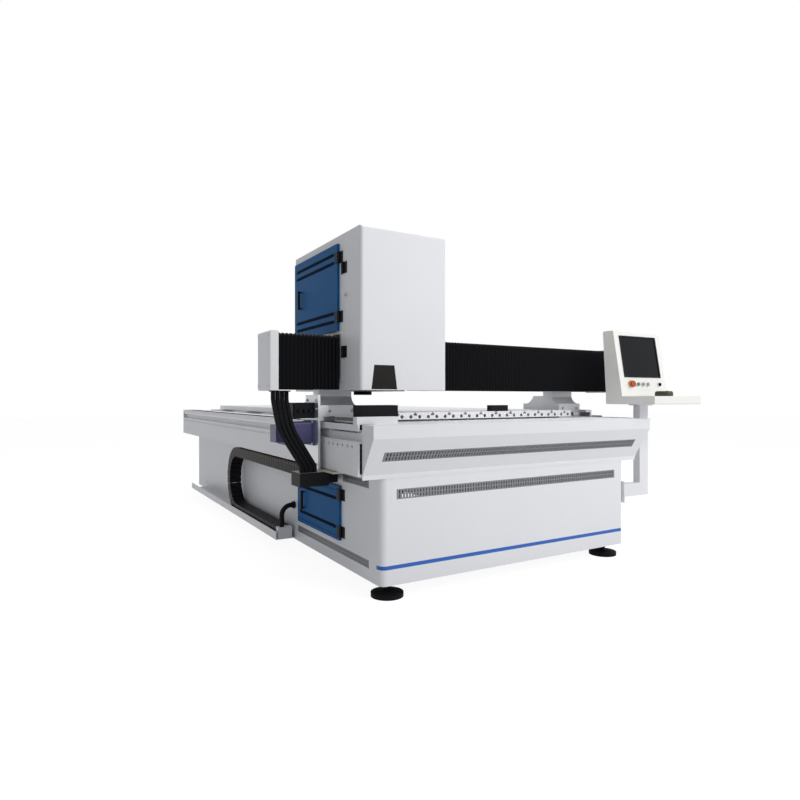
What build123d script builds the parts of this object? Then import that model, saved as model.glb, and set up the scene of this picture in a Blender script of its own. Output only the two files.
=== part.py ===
"""Gantry laser machine: sheet-metal bed, travelling bridge, laser cabinet and operator console.

Millimetres. While it is built, X = 0 is the middle of the bed, Y = 0 its front panel and Z = 0 the floor.
The finished pieces are then moved so that the origin is the bottom centre of the whole machine.
"""
from build123d import *
import math
import os

# General values
SHEET = 4.0                 # thickness of folded sheet metal
PLATE = 12.0                # thickness of machined plates
GAP = 0.3                   # clearance between pieces that move past each other
RUNNING = 0.05              # radial clearance of a pin or stem in its hole
OVERRUN = 20.0              # how far a cutting tool passes the piece that it cuts

# Bed
BED_WIDTH = 1700.0
BED_LENGTH = 3940.0
BED_TOP = 603.0             # underside of the rail beams
FOOT_HEIGHT = 75.0
CORNER_RADIUS = 35.0
FRAME_TUBE = 100.0
FRAME_WALL = 6.0
FRAME_INSET = 34.0          # from the bed's side to the frame
POST_SHARES = (0.023, 0.32, 0.66, 0.977)
FOOT_SHARES = (0.023, 0.5, 0.977)
FOOT_DISC_RADIUS = 81.0
FOOT_DISC_HEIGHT = 20.0
FOOT_CONE_HEIGHT = 12.0
FOOT_STEM_RADIUS = 15.0
FOOT_NUT_RADIUS = 26.0
FOOT_NUT_HEIGHT = 16.0

# Rail beams along both sides of the bed
BEAM_OVERHANG = 119.0
BEAM_WIDTH = 180.0
BEAM_HEIGHT = 239.0
BEAM_WALL = 10.0
BEAM_FRONT_GAP = 4.0
BEAM_REAR = 157.0           # how far a beam reaches behind the bed
GROOVE_DEPTH = 25.0
GROOVE_HEIGHT = 48.0
GROOVE_DROP = 30.0          # from the beam's top to the groove
CHANNEL_WIDTH = 84.0
CHANNEL_DEPTH = 26.0
CHANNEL_INSET = 10.0
HOLE_RADIUS = 8.0
HOLE_PITCH = 53.5
HOLE_DROP = 104.0           # from the beam's top to the row of holes
RAIL_WIDTH = 24.0
RAIL_HEIGHT = 18.0
RACK_HEIGHT = 8.0
RACK_WIDTH = 20.0
COVER_STRIP_HEIGHT = 5.0
COVER_STRIP_SIDE_GAP = 1.0

# Front apron
APRON_REACH = 112.0
APRON_OVERHANG = 99.0
APRON_NOSE = 61.0
APRON_FOOT_DROP = 236.0     # from the apron's top to the foot of its slope
APRON_LIP = 21.0
APRON_SHELF = 250.0         # how far its top plate runs back over the bed

# Vent grilles
VENT_SLOT_WIDTH = 7.0
VENT_SLOT_PITCH = 17.0
VENT_ROWS = 2
VENT_RIM = 6.0
VENT_BAR = 5.0
FRONT_VENT_LENGTH = 1530.0
FRONT_VENT_HEIGHT = 48.0
FRONT_VENT_Z = 507.0
APRON_VENT_LENGTH = 1740.0
APRON_VENT_HEIGHT = 53.0
SIDE_VENT_START = 121.0
LOW_VENT_LENGTH = 955.0
LOW_VENT_HEIGHT = 40.0
LOW_VENT_Z = 155.0
HIGH_VENT_LENGTH = 300.0
HIGH_VENT_Z = 545.0

# Table of slotted profiles
TABLE_TOP = 889.0
TABLE_START = 255.0
TABLE_LENGTH = 3520.0
PROFILE_COUNT = 12
PROFILE_WIDTH = 111.0
PROFILE_HEIGHT = 38.0
SLOT_WIDTH = 11.0
SLOT_DEPTH = 8.0
SLOT_HEAD_WIDTH = 22.0
SLOT_HEAD_DEPTH = 9.0
CHAMBER_RADIUS = 10.0
CHAMBER_RISE = 14.0
CROSS_TUBE_WIDTH = 80.0
CROSS_TUBE_HEIGHT = 100.0
CROSS_SHARES = (0.04, 0.27, 0.5, 0.73, 0.96)
STOP_SIZE = (126.0, 40.0, 35.0)
STOP_PLACE = (96.0, 290.0)
SENSOR_BOX_SIZE = (220.0, 90.0, 88.0)
END_COVER_Y = (20.0, 60.0)  # white cover across the left beam's front end
END_COVER_HEIGHT = 35.0
END_COVER_INSET = 3.0
END_COVER_REACH = 746.0     # from the machine's middle plane to the cover's inner end

# Hinged doors
DOOR_THICKNESS = 14.0
DOOR_LAP = 18.0             # how far a door laps over its opening
DOOR_EDGE_RADIUS = 3.0
DOOR_GROOVE_WIDTH = 8.0
DOOR_GROOVE_DEPTH = 3.0
DOOR_GROOVE_SPREAD = 44.0
DOOR_GROOVE_SHARES = (0.16, 0.84)
DOOR_GROOVE_MARGIN = 22.0
HANDLE_LENGTH = 110.0
HANDLE_SECTION = 14.0
HANDLE_STANDOFF = 24.0
HANDLE_INSET = 110.0
LOWER_DOOR_WIDTH = 608.0
LOWER_DOOR_HEIGHT = 290.0
LOWER_DOOR_START = 436.0
LOWER_DOOR_Z = 208.0
HINGE_HEIGHT = 60.0
HINGE_BARREL = 7.0
HINGE_PIN = 3.0
HINGE_LEAF = 3.0
HINGE_LEAF_REACH = 34.0
HINGE_STANDOFF = 8.0        # from the wall to the hinge's axis
HINGE_GAP = 8.0             # from the hinge's axis to the door's edge

# Electrical panel behind the lower door
PANEL_LOW = 190.0
PANEL_HIGH = 495.0
DRIVE_UNIT_SIZE = (95.0, 85.0, 210.0)
DRIVE_UNIT_PITCH = 125.0
DRIVE_UNIT_COUNT = 4

# Travelling bridge
BRIDGE_FRONT = 425.0
BRIDGE_DEPTH = 185.0
BRIDGE_BOTTOM = 1010.0
BRIDGE_HEIGHT = 288.0
BRIDGE_HALF_LENGTH = 1250.0
CAP_THICKNESS = 47.0
CAP_PROUD = 6.0             # how far a cap stands out past the bellows
CAP_RADIUS = 10.0
BOX_BEAM_DEPTH = 117.0
BOX_BEAM_HEIGHT = 230.0
BOX_BEAM_BACK = 18.0        # from the bridge's back to the box beam
BOX_BEAM_WALL = 8.0
BOX_BEAM_RISE = 30.0        # from the bellows' bottom to the box beam
BRIDGE_RAIL_INSET = 45.0
BELLOWS_WALL = 12.0
BELLOWS_PLEAT = 26.0
BELLOWS_PLEAT_DEPTH = 7.0
FOOT_BLOCK_WIDTH = 193.0
FOOT_BLOCK_FRONT = 441.0
FOOT_BLOCK_BACK = 790.0
FOOT_BLOCK_BASE = 870.0
FOOT_BLOCK_HEIGHT = 58.0
FOOT_COLUMN_DEPTH = 175.0
FOOT_COLUMN_RISE = 105.0    # from the block's base to the column's straight part
FOOT_COLUMN_INSET = 40.0    # from the box beam's front back to the column
FOOT_HEADROOM = 26.0        # from the foot's rear step up to the passing cabinet
BEARING_LENGTH = 90.0
BEARING_WIDTH = 60.0
BEARING_DROP = 50.0         # how far a bearing reaches below the foot

# Drive of the bridge
DRIVE_PLATE_OUT = 142.0     # from the bed's side to the plate's inner face
DRIVE_PLATE_FRONT = 387.0
DRIVE_PLATE_BACK = 560.0
DRIVE_PLATE_LOW = 593.0
DRIVE_PLATE_HIGH = 982.0
DRIVE_TIE = 16.0            # tie from the right-hand plate, which is lower, to its foot
MOTOR_Y = 490.0
MOTOR_SIZE = 130.0
MOTOR_LENGTH = 204.0
MOTOR_FLANGE = 14.0
MOTOR_BODY = 116.0
MOTOR_RADIUS = 12.0
ENCODER_SIZE = 90.0
ENCODER_LENGTH = 45.0
PINION_RADIUS = 18.0
PINION_WIDTH = 20.0
PINION_SHAFT = 8.0
JUNCTION_LENGTH = 110.0
JUNCTION_HEIGHT = 78.0
JUNCTION_LIFT = 12.0

# Cable chain on the left side
CHAIN_WIDTH = 90.0
CHAIN_HEIGHT = 70.0
CHAIN_PITCH = 46.0
CHAIN_LINK = 38.0
CHAIN_CORE = 5.0            # how far the core lies inside the links
CHAIN_INSET = 25.0          # from the bed's side to the chain
CHAIN_TOP = 592.0
CHAIN_MOVING_END = 457.0
CHAIN_BEND_Y = 2078.0
TRAY_WIDTH = 130.0
TRAY_FLOOR = 91.0
TRAY_LIP = 50.0
TRAY_START = 1113.0
TRAY_END = 3612.0
CHAIN_FIXED_END = 1155.0
CHAIN_BRACKET_FRONT = 231.0
CHAIN_BRACKET_THICKNESS = 7.0
CLAMP_LENGTH = 120.0
CLAMP_MARGIN = 4.0          # from the outermost conduit to the clamp's end
CLAMP_TONGUE = 30.0         # length of the part of the clamp that holds the chain
LOOM_DIAMETER = 22.0
LOOM_PITCH = 23.5
LOOM_COUNT = 4
LOOM_RADII = (60.0, 150.0, 48.0)
LOOM_PLATE = 6.0
LOOM_START_X = 1190.0
LOOM_START_Y = 440.0
LOOM_START_DROP = 43.0
LOOM_BEND_Y = 354.0
LOOM_BEND_Z = 810.0
LOOM_END_X = 1072.0
LOOM_END_RISE = 32.0
SUPPLY_DIAMETER = 30.0
SUPPLY_RISE = 130.0
SUPPLY_RADIUS = 60.0
GLAND_RADIUS = 22.0
GLAND_LENGTH = 16.0

# Laser cabinet on the bridge
CABINET_LEFT = -862.0
CABINET_WIDTH = 516.0
CABINET_FRONT = 187.0
CABINET_DEPTH = 909.0
CABINET_BOTTOM = 1006.0
CABINET_HEIGHT = 822.0
COVER_DEPTH = 190.0
SEAM = 2.0
CABINET_RADIUS = 16.0
NOTCH_MARGIN = 10.0
CARRIAGE_PLATE_Y = 428.0
CARRIAGE_RISE = 39.0
SHELF_DROP_ROOM = 8.0
SOURCE_SIZE = (380.0, 420.0, 185.0)
SOURCE_BACK = 36.0
COLLAR_RADIUS = 53.0
COLLAR_WALL = 6.0
COLLAR_HEIGHT = 22.0
COLLAR_Y = 671.0
UPPER_DOOR_WIDTH = 627.0
UPPER_DOOR_HEIGHT = 462.0
UPPER_DOOR_START = 434.0
UPPER_DOOR_Z = 1322.0
COVER_HINGE_SHARES = (0.245, 0.78)

# Viewing window and laser head
WINDOW_X = -727.0
WINDOW_BOTTOM_WIDTH = 150.0
WINDOW_TOP_WIDTH = 117.0
WINDOW_HEIGHT = 127.0
WINDOW_THICKNESS = 5.0
WINDOW_LAP = 8.0
Z_MODULE_SIZE = (100.0, 60.0, 250.0)
Z_MODULE_BASE = 1056.0
Z_PLATE_SIZE = (120.0, 18.0, 150.0)
Z_PLATE_BASE = 1096.0
HEAD_SIZE = (140.0, 110.0, 150.0)
HEAD_RADIUS = 8.0
LENS_RADIUS = 42.0
LENS_HEIGHT = 38.0
LENS_LIP = 5.0

# Operator console
POST_X = 1088.0
POST_Y = 60.0
POST_TUBE = 80.0
POST_DEPTH = 48.0
POST_WALL = 4.0
ARM_Z = 388.0
ARM_FLANGE = 130.0
ARM_FLANGE_THICKNESS = 8.0
POST_TOP = 919.0
SWIVEL_RADIUS = 72.0
SWIVEL_THICKNESS = 8.0
SWIVEL_PIN = 18.0
SWIVEL_PIN_LENGTH = 18.0
CONSOLE_WIDTH = 424.0
TRAY_FORWARD = 274.0
CONSOLE_BACK = 92.0
CONSOLE_TRAY_HEIGHT = 50.0
MONITOR_RISE = 66.0         # from the console's bottom to the monitor's lower front edge
MONITOR_HEIGHT = 400.0
MONITOR_DEPTH = 82.0
MONITOR_TILT = 10.0         # degrees that the screen leans back
MONITOR_FORWARD = 35.0
CONSOLE_YAW = -2.0          # degrees that the console is turned on its post
CONSOLE_RADIUS = 9.0
SCREEN_WIDTH = 338.0
SCREEN_HEIGHT = 270.0
SCREEN_RISE = 105.0         # along the slope, from the monitor's lower edge to the screen
SCREEN_THICKNESS = 6.0
BUTTON_RISE = 60.0
BUTTON_RADIUS = 11.0
BUTTON_STEM = 6.0
BUTTON_STEM_LENGTH = 16.0
BUTTON_LIFT = 5.0           # from the panel to the cap's underside
BUTTON_CAP = 8.0
BEZEL_RADIUS = 14.5
BEZEL_HEIGHT = 7.0
ESTOP_RADIUS = 20.0
ESTOP_NECK = 10.0
ESTOP_LIFT = 14.0
ESTOP_CAP = 11.0
ESTOP_COLLAR = 22.0
ESTOP_COLLAR_HEIGHT = 9.0
BUTTON_PLACES = {"start_button": -59.0, "pause_button": -15.0, "reset_button": 30.0}
ESTOP_PLACE = -118.0
KEY_PLACE = 142.0
KEY_GRIP_WIDTH = 5.0
KEY_GRIP_HEIGHT = 7.0
MOUSE_SIZE = (62.0, 106.0, 32.0)
MOUSE_PLACE = (30.0, -150.0)
MOUSE_RADIUS = 13.0

# Places worked out from the sizes above
HALF = BED_WIDTH / 2
BEAM_OUT = HALF + BEAM_OVERHANG
BEAM_IN = BEAM_OUT - BEAM_WIDTH
BEAM_TOP = BED_TOP + BEAM_HEIGHT
BEAM_END = BED_LENGTH + BEAM_REAR
GROOVE_TOP = BEAM_TOP - GROOVE_DROP
CHANNEL_OUT = BEAM_OUT - CHANNEL_INSET
CHANNEL_FLOOR = BEAM_TOP - CHANNEL_DEPTH
RAIL_X = CHANNEL_OUT - CHANNEL_WIDTH / 2
FOOT_OUT = RAIL_X + BEARING_WIDTH / 2
FRAME_OUT = HALF - FRAME_INSET
FRAME_IN = FRAME_OUT - FRAME_TUBE
BRIDGE_BACK = BRIDGE_FRONT + BRIDGE_DEPTH
BRIDGE_TOP = BRIDGE_BOTTOM + BRIDGE_HEIGHT
BOX_BEAM_Y = (BRIDGE_BACK - BOX_BEAM_BACK - BOX_BEAM_DEPTH, BRIDGE_BACK - BOX_BEAM_BACK)
BOX_BEAM_Z = (BRIDGE_BOTTOM + BOX_BEAM_RISE, BRIDGE_BOTTOM + BOX_BEAM_RISE + BOX_BEAM_HEIGHT)
CAP_INNER = BRIDGE_HALF_LENGTH - CAP_THICKNESS
CABINET_RIGHT = CABINET_LEFT + CABINET_WIDTH
CABINET_BACK = CABINET_FRONT + CABINET_DEPTH
CABINET_TOP = CABINET_BOTTOM + CABINET_HEIGHT
COVER_BACK = CABINET_FRONT + COVER_DEPTH
CABINET_OPEN = COVER_BACK + SEAM
NOTCH_TOP = BRIDGE_TOP + SHELF_DROP_ROOM
PLATE_OUT = HALF + DRIVE_PLATE_OUT
PINION_Z = GROOVE_TOP - RACK_HEIGHT - GAP - PINION_RADIUS
CHAIN_X = (-HALF - CHAIN_INSET - CHAIN_WIDTH, -HALF - CHAIN_INSET)
CHAIN_LOW = TRAY_FLOOR + GAP
CHAIN_OUTER = (CHAIN_TOP - CHAIN_LOW) / 2
LOOM_WIDTH = (LOOM_COUNT - 1) * LOOM_PITCH + LOOM_DIAMETER
CHAIN_BEND_Z = (CHAIN_TOP + CHAIN_LOW) / 2
CONSOLE_BASE = POST_TOP + SWIVEL_THICKNESS + GAP
COVER_HINGE_Y = COVER_BACK + SEAM / 2
LEFT_WALL_AXIS = CABINET_LEFT - HINGE_STANDOFF
LOWER_DOOR_AXIS = (-HALF - HINGE_STANDOFF, LOWER_DOOR_START - HINGE_GAP)
UPPER_DOOR_AXIS = (LEFT_WALL_AXIS, UPPER_DOOR_START - HINGE_GAP)


# Basic shapes
def block(x, y, z):
    """A box between two corners, given as (low, high) pairs."""
    size = [high - low for low, high in (x, y, z)]
    centre = [(high + low) / 2 for low, high in (x, y, z)]
    return Pos(*centre) * Box(*size)


def around(centre, size):
    """A (low, high) pair about a centre."""
    return (centre - size / 2, centre + size / 2)


def rod(axis, start, end, radius, centre):
    """A round bar along X, Y or Z; centre gives its two other coordinates in order."""
    bar = Cylinder(radius, end - start)
    middle = (start + end) / 2
    if axis == "X":
        return Pos(middle, centre[0], centre[1]) * Rot(0, 90, 0) * bar
    if axis == "Y":
        return Pos(centre[0], middle, centre[1]) * Rot(90, 0, 0) * bar
    return Pos(centre[0], centre[1], middle) * bar


def tube(x, y, z, axis, wall):
    """A rectangular tube, open at both ends of its axis."""
    inner = [(low + wall, high - wall) for low, high in (x, y, z)]
    along = "XYZ".index(axis)
    low, high = (x, y, z)[along]
    inner[along] = (low - OVERRUN, high + OVERRUN)
    return block(x, y, z) - block(*inner)


def side_profile(points, x):
    """A solid with an outline in Y and Z, between two X values."""
    face = make_face(Polyline(*[(x[0], y, z) for y, z in points], close=True))
    return extrude(face, amount=x[1] - x[0], dir=(1, 0, 0))


def both_sides(solid):
    """A left-hand solid and its mirror image."""
    return [solid, mirror(solid, about=Plane.YZ)]


def group(*solids):
    """Separate solids kept in one node."""
    return Compound([solid for item in solids for solid in item.solids()])


def vent_sheet(length, height):
    """A slotted vent plate, flat about the origin, SHEET thick in Z."""
    slot_height = (height - 2 * VENT_RIM - (VENT_ROWS - 1) * VENT_BAR) / VENT_ROWS
    count = int((length - 2 * VENT_RIM) // VENT_SLOT_PITCH)
    slots = GridLocations(VENT_SLOT_PITCH, slot_height + VENT_BAR, count, VENT_ROWS)
    slot = Rectangle(VENT_SLOT_WIDTH, slot_height)
    sheet = Face(Rectangle(length, height).wire(), [(place * slot).wire() for place in slots])
    return Pos(0, 0, -SHEET / 2) * extrude(sheet, amount=SHEET)


# Hinges, doors and handles
def hinge_barrel(axis, low, high):
    return rod("Z", low, high, HINGE_BARREL, axis)


def hinge_pair(axis, z, fixed_y, moving_x):
    """The fixed and moving halves of one hinge with a vertical pin.

    The fixed leaf lies on the wall, on the side given by fixed_y; the moving leaf lies against moving_x.
    """
    third = HINGE_HEIGHT / 3
    low, high = z - HINGE_HEIGHT / 2, z + HINGE_HEIGHT / 2
    wall = axis[0] + HINGE_STANDOFF
    fixed_edge = axis[1] + fixed_y * HINGE_LEAF_REACH
    moving_edge = axis[1] - fixed_y * HINGE_LEAF_REACH
    leaf_x = (wall - HINGE_LEAF, wall)
    middle_cut = rod("Z", low + third - GAP, high - third + GAP, HINGE_BARREL + GAP, axis)
    end_cuts = [
        rod("Z", low, low + third + GAP, HINGE_BARREL + GAP, axis),
        rod("Z", high - third - GAP, high, HINGE_BARREL + GAP, axis),
    ]
    fixed_y_range = (min(axis[1], fixed_edge), max(axis[1], fixed_edge))
    fixed = block(leaf_x, fixed_y_range, (low, high)) + hinge_barrel(axis, low, high) - middle_cut
    fixed += rod("Z", low, high, HINGE_PIN, axis)
    moving_y_range = (min(axis[1], moving_edge), max(axis[1], moving_edge))
    moving = block((moving_x - HINGE_LEAF, moving_x), moving_y_range, (low, high))
    moving += hinge_barrel(axis, low + third, high - third)
    moving -= end_cuts
    moving -= rod("Z", low - OVERRUN, high + OVERRUN, HINGE_PIN + RUNNING, axis)
    return fixed, moving


def door(wall, start, width, base, height):
    """A lapped door panel on a wall that faces -X, with two pairs of pressed grooves."""
    face = wall - GAP
    outer = face - DOOR_THICKNESS
    panel = block((outer, face), (start, start + width), (base, base + height))
    panel = fillet(panel.edges().filter_by(Axis.X), DOOR_EDGE_RADIUS)
    groove_y = (start + DOOR_GROOVE_MARGIN, start + width - DOOR_GROOVE_MARGIN)
    for share in DOOR_GROOVE_SHARES:
        for side in (-1, 1):
            middle = base + share * height + side * DOOR_GROOVE_SPREAD / 2
            cut_x = (outer - OVERRUN, outer + DOOR_GROOVE_DEPTH)
            panel -= block(cut_x, groove_y, around(middle, DOOR_GROOVE_WIDTH))
    return panel


def door_hinges(wall, axis, base, height):
    """Both hinges of a lapped door, as fixed and moving halves."""
    pairs = [
        hinge_pair(axis, base + share * height, -1, wall - GAP - DOOR_THICKNESS)
        for share in DOOR_GROOVE_SHARES
    ]
    return [pair[0] for pair in pairs], [pair[1] for pair in pairs]


def pull_handle(wall, y, z):
    """A bar handle on two standoffs, on a door that faces -X."""
    face = wall - GAP - DOOR_THICKNESS
    bar_x = (face - HANDLE_STANDOFF, face - HANDLE_STANDOFF + HANDLE_SECTION)
    bar = block(bar_x, around(y, HANDLE_SECTION), around(z, HANDLE_LENGTH))
    bar = fillet(bar.edges().filter_by(Axis.Z), HANDLE_SECTION / 4)
    for side in (-1, 1):
        middle = z + side * (HANDLE_LENGTH - HANDLE_SECTION) / 2
        bar += rod("X", face - HANDLE_STANDOFF + HANDLE_SECTION / 2, face, HANDLE_SECTION / 3, (y, middle))
    return bar


# Bed
def slope_plane():
    """The plane of the apron's slope, X along the machine's width, Z outwards."""
    top, foot = apron_slope()
    middle = (0, (top[0] + foot[0]) / 2, (top[1] + foot[1]) / 2)
    rise, run = top[1] - foot[1], foot[0] - top[0]
    return Plane(origin=middle, x_dir=(1, 0, 0), z_dir=(0, -rise, -run))


def apron_slope():
    return (-APRON_REACH, BEAM_TOP - APRON_NOSE), (-SHEET, BEAM_TOP - APRON_FOOT_DROP)


def make_apron():
    half = HALF + APRON_OVERHANG
    top, foot = apron_slope()
    lip = foot[1] - APRON_LIP
    outline = [(-APRON_REACH, BEAM_TOP), top, foot, (-SHEET, lip), (0, lip), (0, BEAM_TOP)]
    body = side_profile(outline, (-half, half))
    rise, run = top[1] - foot[1], foot[0] - top[0]
    length = math.hypot(rise, run)
    step_y, step_z = SHEET * rise / length, SHEET * run / length
    inner_top = (top[0] + SHEET, top[1] + (SHEET - step_y) * -rise / run + step_z)
    inner_foot = (OVERRUN, inner_top[1] - (OVERRUN - inner_top[0]) * rise / run)
    inner = [(-APRON_REACH + SHEET, BEAM_TOP - SHEET), inner_top, inner_foot, (OVERRUN, BEAM_TOP - SHEET)]
    body -= side_profile(inner, (-half + SHEET, half - SHEET))
    shelf_half = BEAM_IN - BEAM_FRONT_GAP
    body += block((-shelf_half, shelf_half), (0, APRON_SHELF), (BEAM_TOP - SHEET, BEAM_TOP))
    opening = extrude(slope_plane() * Rectangle(APRON_VENT_LENGTH, APRON_VENT_HEIGHT), SHEET * 2, both=True)
    return body - opening


def side_vent_places():
    """Centre Y, centre Z and length of each vent on one side of the bed."""
    return [
        (SIDE_VENT_START + LOW_VENT_LENGTH / 2, LOW_VENT_Z, LOW_VENT_LENGTH),
        (SIDE_VENT_START + HIGH_VENT_LENGTH / 2, HIGH_VENT_Z, HIGH_VENT_LENGTH),
    ]


def make_vents():
    sheets = [slope_plane() * Pos(0, 0, -SHEET / 2) * vent_sheet(APRON_VENT_LENGTH, APRON_VENT_HEIGHT)]
    front = Plane(origin=(0, SHEET / 2, FRONT_VENT_Z), x_dir=(1, 0, 0), z_dir=(0, -1, 0))
    sheets.append(front * vent_sheet(FRONT_VENT_LENGTH, FRONT_VENT_HEIGHT))
    for y, z, length in side_vent_places():
        side = Plane(origin=(-HALF + SHEET / 2, y, z), x_dir=(0, 1, 0), z_dir=(1, 0, 0))
        sheets += both_sides(side * vent_sheet(length, LOW_VENT_HEIGHT))
    return group(*sheets)


def make_base_shell():
    ring = RectangleRounded(BED_WIDTH, BED_LENGTH, CORNER_RADIUS)
    ring -= RectangleRounded(BED_WIDTH - 2 * SHEET, BED_LENGTH - 2 * SHEET, CORNER_RADIUS - SHEET)
    shell = extrude(Pos(0, BED_LENGTH / 2, FOOT_HEIGHT) * ring, amount=BED_TOP - FOOT_HEIGHT)
    wall_cut = (-HALF - OVERRUN, -HALF + OVERRUN)
    shell -= block(wall_cut,
                   (LOWER_DOOR_START + DOOR_LAP, LOWER_DOOR_START + LOWER_DOOR_WIDTH - DOOR_LAP),
                   (LOWER_DOOR_Z + DOOR_LAP, LOWER_DOOR_Z + LOWER_DOOR_HEIGHT - DOOR_LAP))
    shell -= block(around(0, FRONT_VENT_LENGTH), (-OVERRUN, OVERRUN), around(FRONT_VENT_Z, FRONT_VENT_HEIGHT))
    for y, z, length in side_vent_places():
        cut = block(wall_cut, around(y, length), around(z, LOW_VENT_HEIGHT))
        for side in both_sides(cut):
            shell -= side
    return shell


def make_bed_frame():
    """Welded box-section frame inside the bed, with the cross tubes that carry the table."""
    inside_y = (SHEET + FRAME_TUBE / 10, BED_LENGTH - SHEET - FRAME_TUBE / 10)
    low_z = (FOOT_HEIGHT, FOOT_HEIGHT + FRAME_TUBE)
    high_z = (BED_TOP - FRAME_TUBE, BED_TOP)
    frame = []
    for side in (-1, 1):
        x = sorted((side * FRAME_OUT, side * FRAME_IN))
        for z in (low_z, high_z):
            frame.append(tube(x, inside_y, z, "Y", FRAME_WALL))
        for share in POST_SHARES:
            y = around(share * BED_LENGTH, FRAME_TUBE)
            frame.append(tube(x, y, (low_z[1], high_z[0]), "Z", FRAME_WALL))
    for share in POST_SHARES:
        y = around(share * BED_LENGTH, FRAME_TUBE)
        frame.append(tube((-FRAME_IN, FRAME_IN), y, low_z, "X", FRAME_WALL))
    table_low = TABLE_TOP - PROFILE_HEIGHT
    for share in CROSS_SHARES:
        y = around(TABLE_START + share * TABLE_LENGTH, CROSS_TUBE_WIDTH)
        cross_half = BEAM_IN - BEAM_FRONT_GAP
        frame.append(tube((-cross_half, cross_half), y, (table_low - CROSS_TUBE_HEIGHT, table_low), "X", FRAME_WALL))
        for side in (-1, 1):
            x = sorted((side * FRAME_IN, side * cross_half))
            frame.append(tube(x, y, (BED_TOP, table_low - CROSS_TUBE_HEIGHT), "Z", FRAME_WALL))
    return group(*frame)


def make_table():
    """Slotted aluminium profiles side by side, each with a T-slot and two hollow chambers."""
    low = TABLE_TOP - PROFILE_HEIGHT
    profile = Rectangle(PROFILE_WIDTH - GAP, PROFILE_HEIGHT)
    slot_y = PROFILE_HEIGHT / 2 - SLOT_DEPTH / 2
    head_y = PROFILE_HEIGHT / 2 - SLOT_DEPTH - SLOT_HEAD_DEPTH / 2
    profile -= Pos(0, slot_y) * Rectangle(SLOT_WIDTH, SLOT_DEPTH)
    profile -= Pos(0, head_y) * Rectangle(SLOT_HEAD_WIDTH, SLOT_HEAD_DEPTH)
    for side in (-1, 1):
        chamber = Pos(side * PROFILE_WIDTH / 4, CHAMBER_RISE - PROFILE_HEIGHT / 2)
        profile -= chamber * Circle(CHAMBER_RADIUS)
    upright = Plane(origin=(0, TABLE_START, low + PROFILE_HEIGHT / 2), x_dir=(1, 0, 0), z_dir=(0, -1, 0))
    bar = extrude(upright * profile, amount=-TABLE_LENGTH)
    first = -(PROFILE_COUNT - 1) / 2 * PROFILE_WIDTH
    return group(*[Pos(first + i * PROFILE_WIDTH, 0, 0) * bar for i in range(PROFILE_COUNT)])


def make_side_beams():
    """Both rail beams with rack groove, rail channel and holes, their rear end plates and a front cover."""
    start, end = BEAM_FRONT_GAP, BEAM_END - PLATE
    y = (start, end)
    beam = block((-BEAM_OUT, -BEAM_IN), y, (BED_TOP, BEAM_TOP))
    cut_y = (start - OVERRUN, end + OVERRUN)
    groove_low = GROOVE_TOP - GROOVE_HEIGHT
    beam -= block((-BEAM_OUT - OVERRUN, -BEAM_OUT + GROOVE_DEPTH), cut_y, (groove_low, GROOVE_TOP))
    beam -= block((-CHANNEL_OUT, -CHANNEL_OUT + CHANNEL_WIDTH), cut_y, (CHANNEL_FLOOR, BEAM_TOP + OVERRUN))
    beam -= block((-BEAM_OUT + BEAM_WALL, -BEAM_IN - BEAM_WALL), cut_y,
                  (BED_TOP + BEAM_WALL, groove_low - BEAM_WALL))
    count = int((end - start - HOLE_PITCH) // HOLE_PITCH)
    face = Plane(origin=(-BEAM_OUT + BEAM_WALL / 2, (start + end) / 2, BEAM_TOP - HOLE_DROP),
                 x_dir=(0, 1, 0), z_dir=(1, 0, 0))
    row = Sketch() + GridLocations(HOLE_PITCH, HOLE_PITCH, count, 1) * Circle(HOLE_RADIUS)
    beam -= extrude(face * row, amount=BEAM_WALL, both=True)
    plate = block((-BEAM_OUT, -BEAM_IN), (end, BEAM_END), (BED_TOP, BEAM_TOP))
    cover_x = (-BEAM_OUT + END_COVER_INSET, -END_COVER_REACH)
    cover = block(cover_x, END_COVER_Y, (BEAM_TOP, BEAM_TOP + END_COVER_HEIGHT))
    return group(*both_sides(beam), *both_sides(plate), cover)


def make_guide_rails():
    """Linear rails in the beams' channels and plain racks under the lips of their grooves."""
    y = (BEAM_FRONT_GAP + PLATE, BEAM_END - 2 * PLATE)
    rail = block(around(-RAIL_X, RAIL_WIDTH), y, (CHANNEL_FLOOR, CHANNEL_FLOOR + RAIL_HEIGHT))
    rack_x = (-BEAM_OUT + GROOVE_DEPTH - RACK_WIDTH, -BEAM_OUT + GROOVE_DEPTH)
    rack = block(rack_x, y, (GROOVE_TOP - RACK_HEIGHT, GROOVE_TOP))
    return group(*both_sides(rail), *both_sides(rack))


def cover_strips(y):
    """Flexible strips that close the rail channels, one on each side."""
    half = CHANNEL_WIDTH / 2 - COVER_STRIP_SIDE_GAP
    low = CHANNEL_FLOOR + RAIL_HEIGHT + GAP
    strip = block((-RAIL_X - half, -RAIL_X + half), y, (low, low + COVER_STRIP_HEIGHT))
    return group(*both_sides(strip))


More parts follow.
